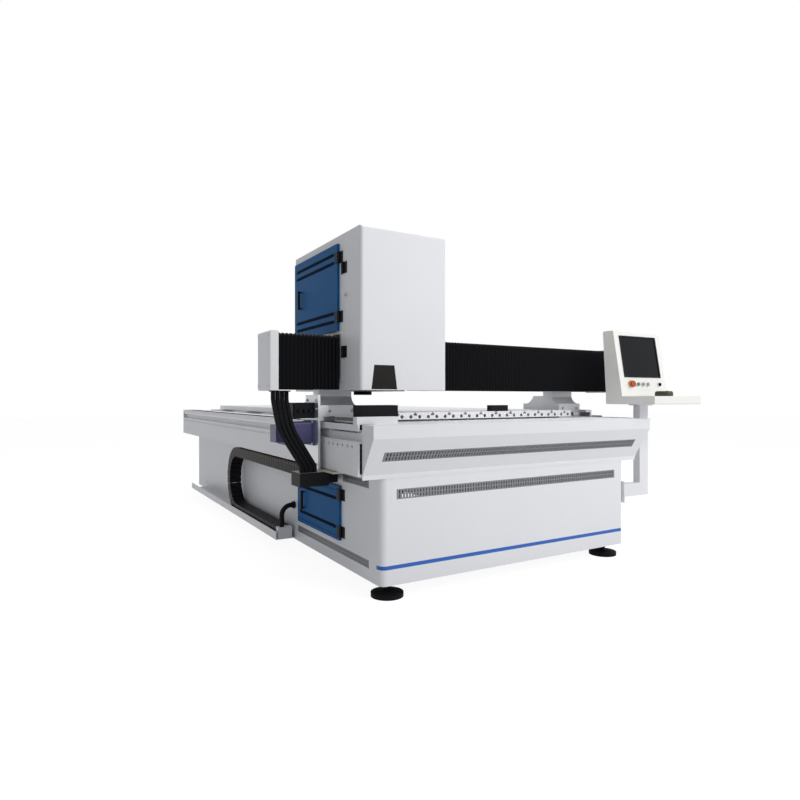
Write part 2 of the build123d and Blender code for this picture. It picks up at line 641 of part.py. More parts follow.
def make_levelling_feet():
    profile = [
        (0, 0), (FOOT_DISC_RADIUS, 0), (FOOT_DISC_RADIUS, FOOT_DISC_HEIGHT),
        (FOOT_NUT_RADIUS, FOOT_DISC_HEIGHT + FOOT_CONE_HEIGHT),
        (FOOT_STEM_RADIUS, FOOT_DISC_HEIGHT + FOOT_CONE_HEIGHT),
        (FOOT_STEM_RADIUS, FOOT_HEIGHT - FOOT_NUT_HEIGHT),
        (FOOT_NUT_RADIUS, FOOT_HEIGHT - FOOT_NUT_HEIGHT), (FOOT_NUT_RADIUS, FOOT_HEIGHT), (0, FOOT_HEIGHT),
    ]
    foot = revolve(make_face(Polyline(*[(r, 0, z) for r, z in profile], close=True)), Axis.Z)
    places = [(side * (FRAME_OUT + FRAME_IN) / 2, share * BED_LENGTH) for side in (-1, 1) for share in FOOT_SHARES]
    return group(*[Pos(x, y, 0) * foot for x, y in places])


def make_electrical_panel():
    """Backing plate across two frame posts, with the servo drives on it."""
    first, second = [share * BED_LENGTH for share in POST_SHARES[:2]]
    panel = block((-FRAME_IN, -FRAME_IN + SHEET), (first, second), (PANEL_LOW, PANEL_HIGH))
    depth, width, height = DRIVE_UNIT_SIZE
    middle_y = (first + second) / 2
    for i in range(DRIVE_UNIT_COUNT):
        y = middle_y + (i - (DRIVE_UNIT_COUNT - 1) / 2) * DRIVE_UNIT_PITCH
        x = (-FRAME_IN - depth, -FRAME_IN)
        panel += block(x, around(y, width), around((PANEL_LOW + PANEL_HIGH) / 2, height))
    return panel


def make_table_stops():
    """A locating stop on the table and the sensor box at the table's left front corner."""
    x, y = STOP_PLACE
    stop = block(around(x, STOP_SIZE[0]), around(y, STOP_SIZE[1]), (TABLE_TOP, TABLE_TOP + STOP_SIZE[2]))
    box_left = -CHANNEL_OUT + CHANNEL_WIDTH
    back = APRON_SHELF - SHEET
    box_right = min(box_left + SENSOR_BOX_SIZE[0], -PROFILE_COUNT * PROFILE_WIDTH / 2 - GAP)
    box = block((box_left, box_right), (back - SENSOR_BOX_SIZE[1], back), (BEAM_TOP, BEAM_TOP + SENSOR_BOX_SIZE[2]))
    return group(stop, box)


# Cable chain
def supply_entry():
    """Y and Z where the supply cable enters the bed's side."""
    return (CHAIN_FIXED_END - (CHAIN_FIXED_END - TRAY_START) / 2, CHAIN_LOW + CHAIN_HEIGHT + SUPPLY_RISE)


def make_chain_tray():
    """Channel along the bed's side, with the block that holds the chain's fixed end."""
    x, y = (-HALF - TRAY_WIDTH, -HALF), (TRAY_START, TRAY_END)
    low = TRAY_FLOOR - SHEET
    tray = block(x, y, (low, TRAY_FLOOR))
    tray += block((x[0], x[0] + SHEET), y, (low, low + TRAY_LIP))
    tray += block((x[1] - SHEET, x[1]), y, (low, low + TRAY_LIP))
    return tray + block(CHAIN_X, (TRAY_START, CHAIN_FIXED_END), (TRAY_FLOOR, CHAIN_LOW + CHAIN_HEIGHT))


def make_supply_cable():
    """Cable from the chain's fixed end up and into the bed's side, with its gland."""
    y, z = supply_entry()
    x = CHAIN_X[0] + SUPPLY_DIAMETER
    path = FilletPolyline((x, y, CHAIN_LOW + CHAIN_HEIGHT), (x, y, z), (-HALF, y, z), radius=SUPPLY_RADIUS)
    start = Plane(origin=path @ 0, z_dir=path % 0)
    cable = sweep(start * Circle(SUPPLY_DIAMETER / 2), path=path)
    gland = rod("X", -HALF - GLAND_LENGTH, -HALF, GLAND_RADIUS, (y, z))
    gland -= rod("X", -HALF - OVERRUN, -HALF + OVERRUN, SUPPLY_DIAMETER / 2, (y, z))
    return group(cable, gland)


def chain_run(start, end, low):
    """A straight run of chain: a slimmer core with a raised link at every pitch."""
    core_x = (CHAIN_X[0] + CHAIN_CORE, CHAIN_X[1] - CHAIN_CORE)
    run = block(core_x, (start, end), (low + CHAIN_CORE, low + CHAIN_HEIGHT - CHAIN_CORE))
    count = int((end - start) // CHAIN_PITCH)
    for i in range(count):
        y = start + (i + 0.5) * (end - start) / count
        run += block(CHAIN_X, around(y, CHAIN_LINK), (low, low + CHAIN_HEIGHT))
    return run


def chain_bend(first, last):
    """Part of the chain's bend between two angles, counted from straight down towards the back."""
    def sector(inner, outer, x, start, stop):
        ring = Circle(outer) - Circle(inner)
        corners = [(0, 0)] + [
            (2 * outer * math.sin(math.radians(a)), -2 * outer * math.cos(math.radians(a)))
            for a in (start, (start + stop) / 2, stop)
        ]
        wedge = make_face(Polyline(*corners, close=True))
        plane = Plane(origin=(x[0], CHAIN_BEND_Y, CHAIN_BEND_Z), x_dir=(0, 1, 0), z_dir=(1, 0, 0))
        return extrude(plane * (ring & wedge), amount=x[1] - x[0])

    inner = CHAIN_OUTER - CHAIN_HEIGHT
    core_x = (CHAIN_X[0] + CHAIN_CORE, CHAIN_X[1] - CHAIN_CORE)
    bend = sector(inner + CHAIN_CORE, CHAIN_OUTER - CHAIN_CORE, core_x, first, last)
    mean = CHAIN_OUTER - CHAIN_HEIGHT / 2
    count = int(math.radians(last - first) * mean // CHAIN_PITCH)
    step = (last - first) / count
    link = math.degrees(CHAIN_LINK / mean)
    for i in range(count):
        middle = first + (i + 0.5) * step
        bend += sector(inner, CHAIN_OUTER, CHAIN_X, middle - link / 2, middle + link / 2)
    return bend


def make_chain_bracket():
    """Plate that carries the chain's moving end, and the clamp that the cable loom drops into."""
    low = CHAIN_TOP + GAP
    high = low + CHAIN_BRACKET_THICKNESS
    back = CHAIN_MOVING_END - GAP
    clamp_z = (CHAIN_TOP - CHAIN_HEIGHT, low)
    clamp_left = -LOOM_END_X - LOOM_WIDTH / 2 - CLAMP_MARGIN
    bracket = block((-PLATE_OUT, CHAIN_X[1]), (CHAIN_BRACKET_FRONT, DRIVE_PLATE_BACK), (low, high))
    bracket += block((clamp_left, CHAIN_X[0]), (CHAIN_MOVING_END - CLAMP_LENGTH, back), clamp_z)
    return bracket + block(CHAIN_X, (CHAIN_MOVING_END - CLAMP_TONGUE, back), clamp_z)


def make_cable_loom():
    """Conduits side by side from a plate under the left cap, past the drive motor, down to the chain's clamp."""
    plate_z = (BRIDGE_BOTTOM - CAP_PROUD - LOOM_PLATE, BRIDGE_BOTTOM - CAP_PROUD)
    end_z = CHAIN_TOP + GAP
    route = [
        (-LOOM_START_X, LOOM_START_Y, plate_z[0]),
        (-LOOM_START_X, LOOM_START_Y, plate_z[0] - LOOM_START_DROP),
        (-LOOM_START_X, LOOM_BEND_Y, LOOM_BEND_Z),
        (-LOOM_END_X, LOOM_BEND_Y, end_z + LOOM_END_RISE),
        (-LOOM_END_X, LOOM_BEND_Y, end_z),
    ]
    path = FilletPolyline(*route, radius=list(LOOM_RADII))
    start = Plane(origin=path @ 0, z_dir=path % 0)
    conduit = sweep(start * Circle(LOOM_DIAMETER / 2), path=path)
    plate = block((-BRIDGE_HALF_LENGTH + CAP_RADIUS, -LOOM_START_X + LOOM_WIDTH / 2 + CLAMP_MARGIN),
                  around(LOOM_START_Y, 2 * LOOM_DIAMETER), plate_z)
    middle = (LOOM_COUNT - 1) / 2
    return group(plate, *[Pos((i - middle) * LOOM_PITCH, 0, 0) * conduit for i in range(LOOM_COUNT)])


# Travelling bridge
def make_bridge_beam():
    return tube((-CAP_INNER, CAP_INNER), BOX_BEAM_Y, BOX_BEAM_Z, "X", BOX_BEAM_WALL)


def bridge_rail_heights():
    return (BOX_BEAM_Z[0] + BRIDGE_RAIL_INSET, BOX_BEAM_Z[1] - BRIDGE_RAIL_INSET)


def make_bridge_rails():
    length = CAP_INNER - CAP_THICKNESS
    y = (BOX_BEAM_Y[0] - RAIL_HEIGHT, BOX_BEAM_Y[0])
    return group(*[block((-length, length), y, around(z, RAIL_WIDTH)) for z in bridge_rail_heights()])


def make_bridge_caps():
    x = (-BRIDGE_HALF_LENGTH, -CAP_INNER)
    y = (BRIDGE_FRONT - CAP_PROUD, BRIDGE_BACK + CAP_PROUD)
    cap = block(x, y, (BRIDGE_BOTTOM - CAP_PROUD, BRIDGE_TOP + CAP_PROUD))
    cap = fillet(cap.faces().sort_by(Axis.X)[0].edges(), CAP_RADIUS)
    return group(*both_sides(cap))


def make_bridge_feet():
    """Cast feet: a block on the bearings that sweeps up at both ends into a column under the box beam."""
    base, shoulder = FOOT_BLOCK_BASE, FOOT_BLOCK_BASE + FOOT_BLOCK_HEIGHT
    neck, step, top = base + FOOT_COLUMN_RISE, CABINET_BOTTOM - FOOT_HEADROOM, BOX_BEAM_Z[0]
    front = BOX_BEAM_Y[0] + FOOT_COLUMN_INSET
    back = front + FOOT_COLUMN_DEPTH

    def at(y, z):
        return (-FOOT_OUT, y, z)

    def sweep_up(start, end):
        """A quarter-round line from the block's shoulder up to the column."""
        middle = at(start[1] + (end[1] - start[1]) * math.sin(math.pi / 4),
                    start[2] + (end[2] - start[2]) * (1 - math.cos(math.pi / 4)))
        return ThreePointArc(start, middle, end)

    corners = [at(FOOT_BLOCK_FRONT, shoulder), at(FOOT_BLOCK_FRONT, base), at(FOOT_BLOCK_BACK, base),
               at(FOOT_BLOCK_BACK, shoulder)]
    column = [at(back, neck), at(back, step), at(BOX_BEAM_Y[1], step), at(BOX_BEAM_Y[1], top), at(front, top),
              at(front, neck)]
    rear, forward = sweep_up(corners[-1], column[0]), sweep_up(corners[0], column[-1])
    lines = [Polyline(*corners), rear, Polyline(*column), forward]
    foot = extrude(make_face(lines), amount=FOOT_BLOCK_WIDTH, dir=(1, 0, 0))
    return group(*both_sides(foot))


def make_bridge_blocks():
    """Two linear bearings under each foot, straddling the rail."""
    low, high = FOOT_BLOCK_BASE - BEARING_DROP, FOOT_BLOCK_BASE
    solids = []
    for y in (FOOT_BLOCK_FRONT + BEARING_LENGTH / 2, FOOT_BLOCK_BACK - BEARING_LENGTH / 2):
        bearing = block(around(-RAIL_X, BEARING_WIDTH), around(y, BEARING_LENGTH), (low, high))
        bearing -= block(around(-RAIL_X, RAIL_WIDTH + 2 * GAP), around(y, BEARING_LENGTH + OVERRUN),
                         (low - OVERRUN, CHANNEL_FLOOR + RAIL_HEIGHT + GAP))
        solids += both_sides(bearing)
    return group(*solids)


def make_drive_plates():
    """Plates that hang outside the beams and carry the motors, tied back to the feet."""
    y = (DRIVE_PLATE_FRONT, DRIVE_PLATE_BACK)
    tie_high = FOOT_BLOCK_BASE + DRIVE_TIE
    plates = []
    for high, tie in ((DRIVE_PLATE_HIGH, FOOT_BLOCK_BASE + FOOT_BLOCK_HEIGHT), (tie_high, tie_high)):
        plate = block((-PLATE_OUT - PLATE, -PLATE_OUT), y, (DRIVE_PLATE_LOW, high))
        plate += block((-PLATE_OUT, -FOOT_OUT), y, (FOOT_BLOCK_BASE, tie))
        plate -= rod("X", -PLATE_OUT - OVERRUN, -PLATE_OUT + OVERRUN, PINION_SHAFT + RUNNING, (MOTOR_Y, PINION_Z))
        plates.append(plate)
    left, right = plates
    return group(left, mirror(right, about=Plane.YZ))


def make_drive_motors():
    """Servo motors with their square flange, body and encoder, and the junction box above the left one."""
    inner = -PLATE_OUT - PLATE
    body_start = inner - MOTOR_FLANGE
    body_end = inner - MOTOR_LENGTH + ENCODER_LENGTH
    motor = block((body_start, inner), around(MOTOR_Y, MOTOR_SIZE), around(PINION_Z, MOTOR_SIZE))
    body = block((body_end, body_start), around(MOTOR_Y, MOTOR_BODY), around(PINION_Z, MOTOR_BODY))
    motor += fillet(body.edges().filter_by(Axis.X), MOTOR_RADIUS)
    motor += block((body_end - ENCODER_LENGTH, body_end), around(MOTOR_Y, ENCODER_SIZE), around(PINION_Z, ENCODER_SIZE))
    motor -= rod("X", body_start, inner + OVERRUN, PINION_SHAFT + RUNNING, (MOTOR_Y, PINION_Z))
    box_low = PINION_Z + MOTOR_SIZE / 2 + JUNCTION_LIFT
    box = block((inner - JUNCTION_LENGTH, inner), around(MOTOR_Y, MOTOR_BODY), (box_low, box_low + JUNCTION_HEIGHT))
    return group(*both_sides(motor), box)


def make_pinions():
    inner = -BEAM_OUT + GROOVE_DEPTH - GAP
    pinion = rod("X", inner - PINION_WIDTH, inner, PINION_RADIUS, (MOTOR_Y, PINION_Z))
    shaft_end = -PLATE_OUT - PLATE - MOTOR_FLANGE + GAP
    pinion += rod("X", shaft_end, inner, PINION_SHAFT, (MOTOR_Y, PINION_Z))
    return group(*both_sides(pinion))


def bellows(start, end):
    """Pleated cover over the bridge between two X values: front, top and back walls."""
    count = max(2, round((end - start) / BELLOWS_PLEAT))
    step = (end - start) / count
    outline = []
    for i in range(count):
        outline += [(start + i * step, BELLOWS_PLEAT_DEPTH), (start + (i + 0.5) * step, 0)]
    outline.append((end, BELLOWS_PLEAT_DEPTH))

    def wall(place, inner):
        points = [place(x, depth) for x, depth in outline]
        return make_face(Polyline(*points, place(end, inner), place(start, inner), close=True))

    inner = BELLOWS_WALL
    front = wall(lambda x, d: (x, BRIDGE_FRONT + d, BRIDGE_BOTTOM), inner)
    back = wall(lambda x, d: (x, BRIDGE_BACK - d, BRIDGE_BOTTOM), inner)
    top = wall(lambda x, d: (x, BRIDGE_FRONT + inner, BRIDGE_TOP - d), inner)
    rise = BRIDGE_HEIGHT - inner
    cover = extrude(front, amount=rise, dir=(0, 0, 1)) + extrude(back, amount=rise, dir=(0, 0, 1))
    lid = extrude(top, amount=BRIDGE_DEPTH - 2 * inner, dir=(0, 1, 0))
    corner_y = ((BRIDGE_FRONT + BELLOWS_PLEAT_DEPTH, BRIDGE_FRONT + inner),
                (BRIDGE_BACK - inner, BRIDGE_BACK - BELLOWS_PLEAT_DEPTH))
    for y in corner_y:
        cover += block((start, end), y, (BRIDGE_TOP - inner, BRIDGE_TOP - BELLOWS_PLEAT_DEPTH))
    return cover + lid


# Laser cabinet
def make_carriage_frame():
    """Plate in front of the box beam and the shelf on top of it, which carry the cabinet."""
    x = (CABINET_LEFT + SHEET, CABINET_RIGHT - SHEET)
    plate_y = (CARRIAGE_PLATE_Y, CARRIAGE_PLATE_Y + PLATE)
    low = CABINET_BOTTOM + CARRIAGE_RISE
    frame = block(x, plate_y, (low, NOTCH_TOP))
    return frame + block(x, (CABINET_OPEN, CABINET_BACK - CABINET_RADIUS), (NOTCH_TOP, NOTCH_TOP + PLATE))


def make_carriage_blocks():
    """Four linear bearings between the carriage plate and the bridge's rails."""
    y = (CARRIAGE_PLATE_Y + PLATE, BOX_BEAM_Y[0] - GAP)
    rail_y = (BOX_BEAM_Y[0] - RAIL_HEIGHT - GAP, BOX_BEAM_Y[0] + OVERRUN)
    solids = []
    for z in bridge_rail_heights():
        for x in (CABINET_LEFT + BEARING_LENGTH, CABINET_RIGHT - BEARING_LENGTH):
            bearing = block(around(x, BEARING_LENGTH), y, around(z, BEARING_WIDTH))
            bearing -= block(around(x, BEARING_LENGTH + OVERRUN), rail_y, around(z, RAIL_WIDTH + 2 * GAP))
            solids.append(bearing)
    return group(*solids)


def make_cabinet_shell():
    """Rear part of the cabinet: side walls, back and top, notched over the bridge, with a floor behind it."""
    x, y, z = (CABINET_LEFT, CABINET_RIGHT), (CABINET_OPEN, CABINET_BACK), (CABINET_BOTTOM, CABINET_TOP)
    shell = block(x, y, z)
    shell = fillet(shell.edges().filter_by(Axis.Z).group_by(Axis.Y)[-1], CABINET_RADIUS)
    inner_x = (x[0] + SHEET, x[1] - SHEET)
    hollow = block(inner_x, (y[0] - OVERRUN, y[1] - SHEET), (z[0] - OVERRUN, z[1] - SHEET))
    hollow = fillet(hollow.edges().filter_by(Axis.Z).group_by(Axis.Y)[-1], CABINET_RADIUS - SHEET)
    shell -= hollow
    notch_y = (BRIDGE_FRONT - NOTCH_MARGIN, BRIDGE_BACK + NOTCH_MARGIN)
    shell += hollow & block(x, (notch_y[1], y[1]), (z[0], z[0] + SHEET))
    wide = (x[0] - OVERRUN, x[1] + OVERRUN)
    shell -= block(wide, notch_y, (z[0] - OVERRUN, NOTCH_TOP))
    shell -= block((x[0] - OVERRUN, x[0] + OVERRUN),
                   (UPPER_DOOR_START + DOOR_LAP, UPPER_DOOR_START + UPPER_DOOR_WIDTH - DOOR_LAP),
                   (UPPER_DOOR_Z + DOOR_LAP, UPPER_DOOR_Z + UPPER_DOOR_HEIGHT - DOOR_LAP))
    return shell - rod("Z", z[0] - OVERRUN, z[0] + OVERRUN, COLLAR_RADIUS - COLLAR_WALL, collar_place())


def collar_place():
    return ((CABINET_LEFT + CABINET_RIGHT) / 2, COLLAR_Y)


def make_hose_collar():
    """Short collar under the cabinet's floor for an exhaust hose."""
    low = CABINET_BOTTOM - COLLAR_HEIGHT
    collar = rod("Z", low, CABINET_BOTTOM, COLLAR_RADIUS, collar_place())
    return collar - rod("Z", low - OVERRUN, CABINET_BOTTOM + OVERRUN, COLLAR_RADIUS - COLLAR_WALL, collar_place())


def window_outline(grow):
    """The trapezoid of the viewing window, grown by a margin, in the front cover's plane."""
    low = CABINET_BOTTOM + SHEET
    half_low, half_high = WINDOW_BOTTOM_WIDTH / 2 + grow, WINDOW_TOP_WIDTH / 2 + grow
    high = CABINET_BOTTOM + WINDOW_HEIGHT + grow
    return [(-half_low, low - min(grow, SHEET)), (half_low, low - min(grow, SHEET)), (half_high, high), (-half_high, high)]


def window_prism(grow, y):
    points = [(WINDOW_X + px, y[0], pz) for px, pz in window_outline(grow)]
    return extrude(make_face(Polyline(*points, close=True)), amount=y[1] - y[0], dir=(0, 1, 0))


def make_front_cover():
    """Deep front door of the cabinet: front, both sides and top, with the window cut in it."""
    x, y, z = (CABINET_LEFT, CABINET_RIGHT), (CABINET_FRONT, COVER_BACK), (CABINET_BOTTOM, CABINET_TOP)
    cover = block(x, y, z)
    cover = fillet(cover.faces().sort_by(Axis.Y)[0].edges().sort_by(Axis.Z)[1:], CABINET_RADIUS)
    hollow = block((x[0] + SHEET, x[1] - SHEET), (y[0] + SHEET, y[1] + OVERRUN), (z[0] - OVERRUN, z[1] - SHEET))
    front_edges = hollow.faces().sort_by(Axis.Y)[0].edges().sort_by(Axis.Z)[1:]
    cover -= fillet(front_edges, CABINET_RADIUS - SHEET)
    return cover - window_prism(0, (y[0] - OVERRUN, y[0] + OVERRUN))


def make_laser_source():
    width, depth, height = SOURCE_SIZE
    x = around((CABINET_LEFT + CABINET_RIGHT) / 2, width)
    back = CABINET_BACK - SHEET - SOURCE_BACK
    low = NOTCH_TOP + PLATE
    return block(x, (back - depth, back), (low, low + height))


def make_z_module():
    width, depth, height = Z_MODULE_SIZE
    y = (CARRIAGE_PLATE_Y - depth, CARRIAGE_PLATE_Y)
    return block(around(WINDOW_X, width), y, (Z_MODULE_BASE, Z_MODULE_BASE + height))


def z_plate_front():
    return CARRIAGE_PLATE_Y - Z_MODULE_SIZE[1] - GAP - Z_PLATE_SIZE[1]


def make_z_plate():
    width, depth, height = Z_PLATE_SIZE
    front = z_plate_front()
    return block(around(WINDOW_X, width), (front, front + depth), (Z_PLATE_BASE, Z_PLATE_BASE + height))


def make_laser_head():
    width, depth, height = HEAD_SIZE
    front = z_plate_front()
    head = block(around(WINDOW_X, width), (front - depth, front), (Z_PLATE_BASE, Z_PLATE_BASE + height))
    return fillet(head.edges().filter_by(Axis.Z), HEAD_RADIUS)


def make_head_lens():
    """Focusing lens barrel under the laser head, with a protecting lip."""
    place = (WINDOW_X, z_plate_front() - HEAD_SIZE[1] / 2)
    low = Z_PLATE_BASE - LENS_HEIGHT
    barrel = rod("Z", low, Z_PLATE_BASE, LENS_RADIUS, place)
    barrel += rod("Z", low, low + LENS_HEIGHT / 3, LENS_RADIUS + LENS_LIP, place)
    return barrel - rod("Z", low - OVERRUN, low + LENS_LIP, LENS_RADIUS - LENS_LIP, place)


# Operator console
def make_console_arm():
    """Welded arm and post with its bolting flange, and the swivel disc and pin on top."""
    half = POST_TUBE / 2
    flange_end = HALF + ARM_FLANGE_THICKNESS
    arm_z = around(ARM_Z, POST_TUBE)
    arm = block((HALF, flange_end), around(POST_Y, ARM_FLANGE), around(ARM_Z, ARM_FLANGE))
    y = around(POST_Y, POST_DEPTH)
    arm += tube((flange_end, POST_X + half), y, arm_z, "X", POST_WALL)
    arm += block((POST_X + half - POST_WALL, POST_X + half), y, arm_z)
    arm += tube(around(POST_X, POST_TUBE), y, (arm_z[1], POST_TOP), "Z", POST_WALL)
    arm += rod("Z", POST_TOP, POST_TOP + SWIVEL_THICKNESS, SWIVEL_RADIUS, (POST_X, POST_Y))
    pin_top = POST_TOP + SWIVEL_THICKNESS + SWIVEL_PIN_LENGTH
    return arm + rod("Z", POST_TOP, pin_top, SWIVEL_PIN, (POST_X, POST_Y))


def monitor_plane():
    """Plane of the monitor's face before the console is turned: X right, Y up the slope, Z outwards."""
    tilt = math.radians(MONITOR_TILT)
    origin = (POST_X, POST_Y - MONITOR_FORWARD, CONSOLE_BASE + MONITOR_RISE)
    return Plane(origin=origin, x_dir=(1, 0, 0), z_dir=(0, -math.cos(tilt), math.sin(tilt)))


def turned(solid):
    """A console piece, turned with the console on its post."""
    return Pos(POST_X, POST_Y, 0) * Rot(0, 0, CONSOLE_YAW) * Pos(-POST_X, -POST_Y, 0) * solid


def console_outline(inset):
    """Side outline of the console, in Y and Z, inset by a wall thickness."""
    lean = math.tan(math.radians(MONITOR_TILT))
    base = CONSOLE_BASE + inset
    face_low = POST_Y - MONITOR_FORWARD + inset
    top = CONSOLE_BASE + MONITOR_RISE + MONITOR_HEIGHT - inset
    lean_top = (top - CONSOLE_BASE - MONITOR_RISE) * lean
    tray_top = CONSOLE_BASE + CONSOLE_TRAY_HEIGHT - inset
    back = POST_Y + CONSOLE_BACK - inset
    return [
        (POST_Y - TRAY_FORWARD + inset, base), (back, base), (back, CONSOLE_BASE + MONITOR_RISE),
        (face_low + lean_top + MONITOR_DEPTH - 2 * inset, top), (face_low + lean_top, top),
        (face_low, CONSOLE_BASE + MONITOR_RISE), (face_low, tray_top), (POST_Y - TRAY_FORWARD + inset, tray_top),
    ]


def make_console_shell():
    half = CONSOLE_WIDTH / 2
    shell = side_profile(console_outline(0), (POST_X - half, POST_X + half))
    rounded = shell.edges().filter_by(Axis.X).group_by(Axis.Z)
    shell = fillet([rounded[0][0], rounded[0][-1], *rounded[-1]], CONSOLE_RADIUS)
    shell -= side_profile(console_outline(SHEET), (POST_X - half + SHEET, POST_X + half - SHEET))
    face = monitor_plane()
    screen = face * Pos(0, SCREEN_RISE + SCREEN_HEIGHT / 2, 0)
    shell -= screen * Box(SCREEN_WIDTH, SCREEN_HEIGHT, 4 * SHEET)
    row = face * Pos(0, BUTTON_RISE, 0)
    for place in (*BUTTON_PLACES.values(), KEY_PLACE):
        shell += row * Pos(place, 0, BEZEL_HEIGHT / 2) * Cylinder(BEZEL_RADIUS, BEZEL_HEIGHT)
        shell -= row * Pos(place, 0, BEZEL_HEIGHT) * Cylinder(BUTTON_RADIUS + GAP, 2 * BEZEL_HEIGHT)
        shell -= row * Pos(place, 0, 0) * Cylinder(BUTTON_STEM + RUNNING, 4 * SHEET)
    shell += row * Pos(ESTOP_PLACE, 0, ESTOP_COLLAR_HEIGHT / 2) * Cylinder(ESTOP_COLLAR, ESTOP_COLLAR_HEIGHT)
    shell -= row * Pos(ESTOP_PLACE, 0, 0) * Cylinder(ESTOP_NECK + RUNNING, 4 * ESTOP_COLLAR_HEIGHT)
    pin_bore = rod("Z", CONSOLE_BASE - OVERRUN, CONSOLE_BASE + SHEET + OVERRUN, SWIVEL_PIN + RUNNING, (POST_X, POST_Y))
    return turned(shell - pin_bore)


def make_console_screen():
    place = monitor_plane() * Pos(0, SCREEN_RISE + SCREEN_HEIGHT / 2, -SCREEN_THICKNESS / 2)
    return turned(place * Box(SCREEN_WIDTH, SCREEN_HEIGHT, SCREEN_THICKNESS))


def push_button(place):
    row = monitor_plane() * Pos(place, BUTTON_RISE, 0)
    cap = row * Pos(0, 0, BUTTON_LIFT + BUTTON_CAP / 2) * Cylinder(BUTTON_RADIUS, BUTTON_CAP)
    stem = row * Pos(0, 0, BUTTON_LIFT - BUTTON_STEM_LENGTH / 2) * Cylinder(BUTTON_STEM, BUTTON_STEM_LENGTH)
    return turned(cap + stem)


def make_estop():
    row = monitor_plane() * Pos(ESTOP_PLACE, BUTTON_RISE, 0)
    cap = row * Pos(0, 0, ESTOP_LIFT + ESTOP_CAP / 2) * Cylinder(ESTOP_RADIUS, ESTOP_CAP)
    cap = fillet(cap.edges().sort_by(Axis.Y)[0], ESTOP_CAP / 3)
    neck_length = ESTOP_LIFT + 2 * SHEET
    return turned(cap + row * Pos(0, 0, ESTOP_LIFT - neck_length / 2) * Cylinder(ESTOP_NECK, neck_length))


def make_key_switch():
    row = monitor_plane() * Pos(KEY_PLACE, BUTTON_RISE, 0)
    switch = row * Pos(0, 0, BUTTON_LIFT + BUTTON_CAP / 2) * Cylinder(BUTTON_RADIUS, BUTTON_CAP)
    switch += row * Pos(0, 0, BUTTON_LIFT - BUTTON_STEM_LENGTH / 2) * Cylinder(BUTTON_STEM, BUTTON_STEM_LENGTH)
    grip = Box(KEY_GRIP_WIDTH, 2 * BUTTON_STEM, KEY_GRIP_HEIGHT)
    return turned(switch + row * Pos(0, 0, BUTTON_LIFT + BUTTON_CAP + KEY_GRIP_HEIGHT / 2) * grip)


def make_mouse():
    width, length, height = MOUSE_SIZE
    low = CONSOLE_BASE + CONSOLE_TRAY_HEIGHT
    x, y = POST_X + MOUSE_PLACE[0], POST_Y + MOUSE_PLACE[1]
    mouse = block(around(x, width), around(y, length), (low, low + height))
    mouse = fillet(mouse.edges().filter_by(Axis.Z), width / 3)
    return turned(fillet(mouse.faces().sort_by(Axis.Z)[-1].edges(), MOUSE_RADIUS))


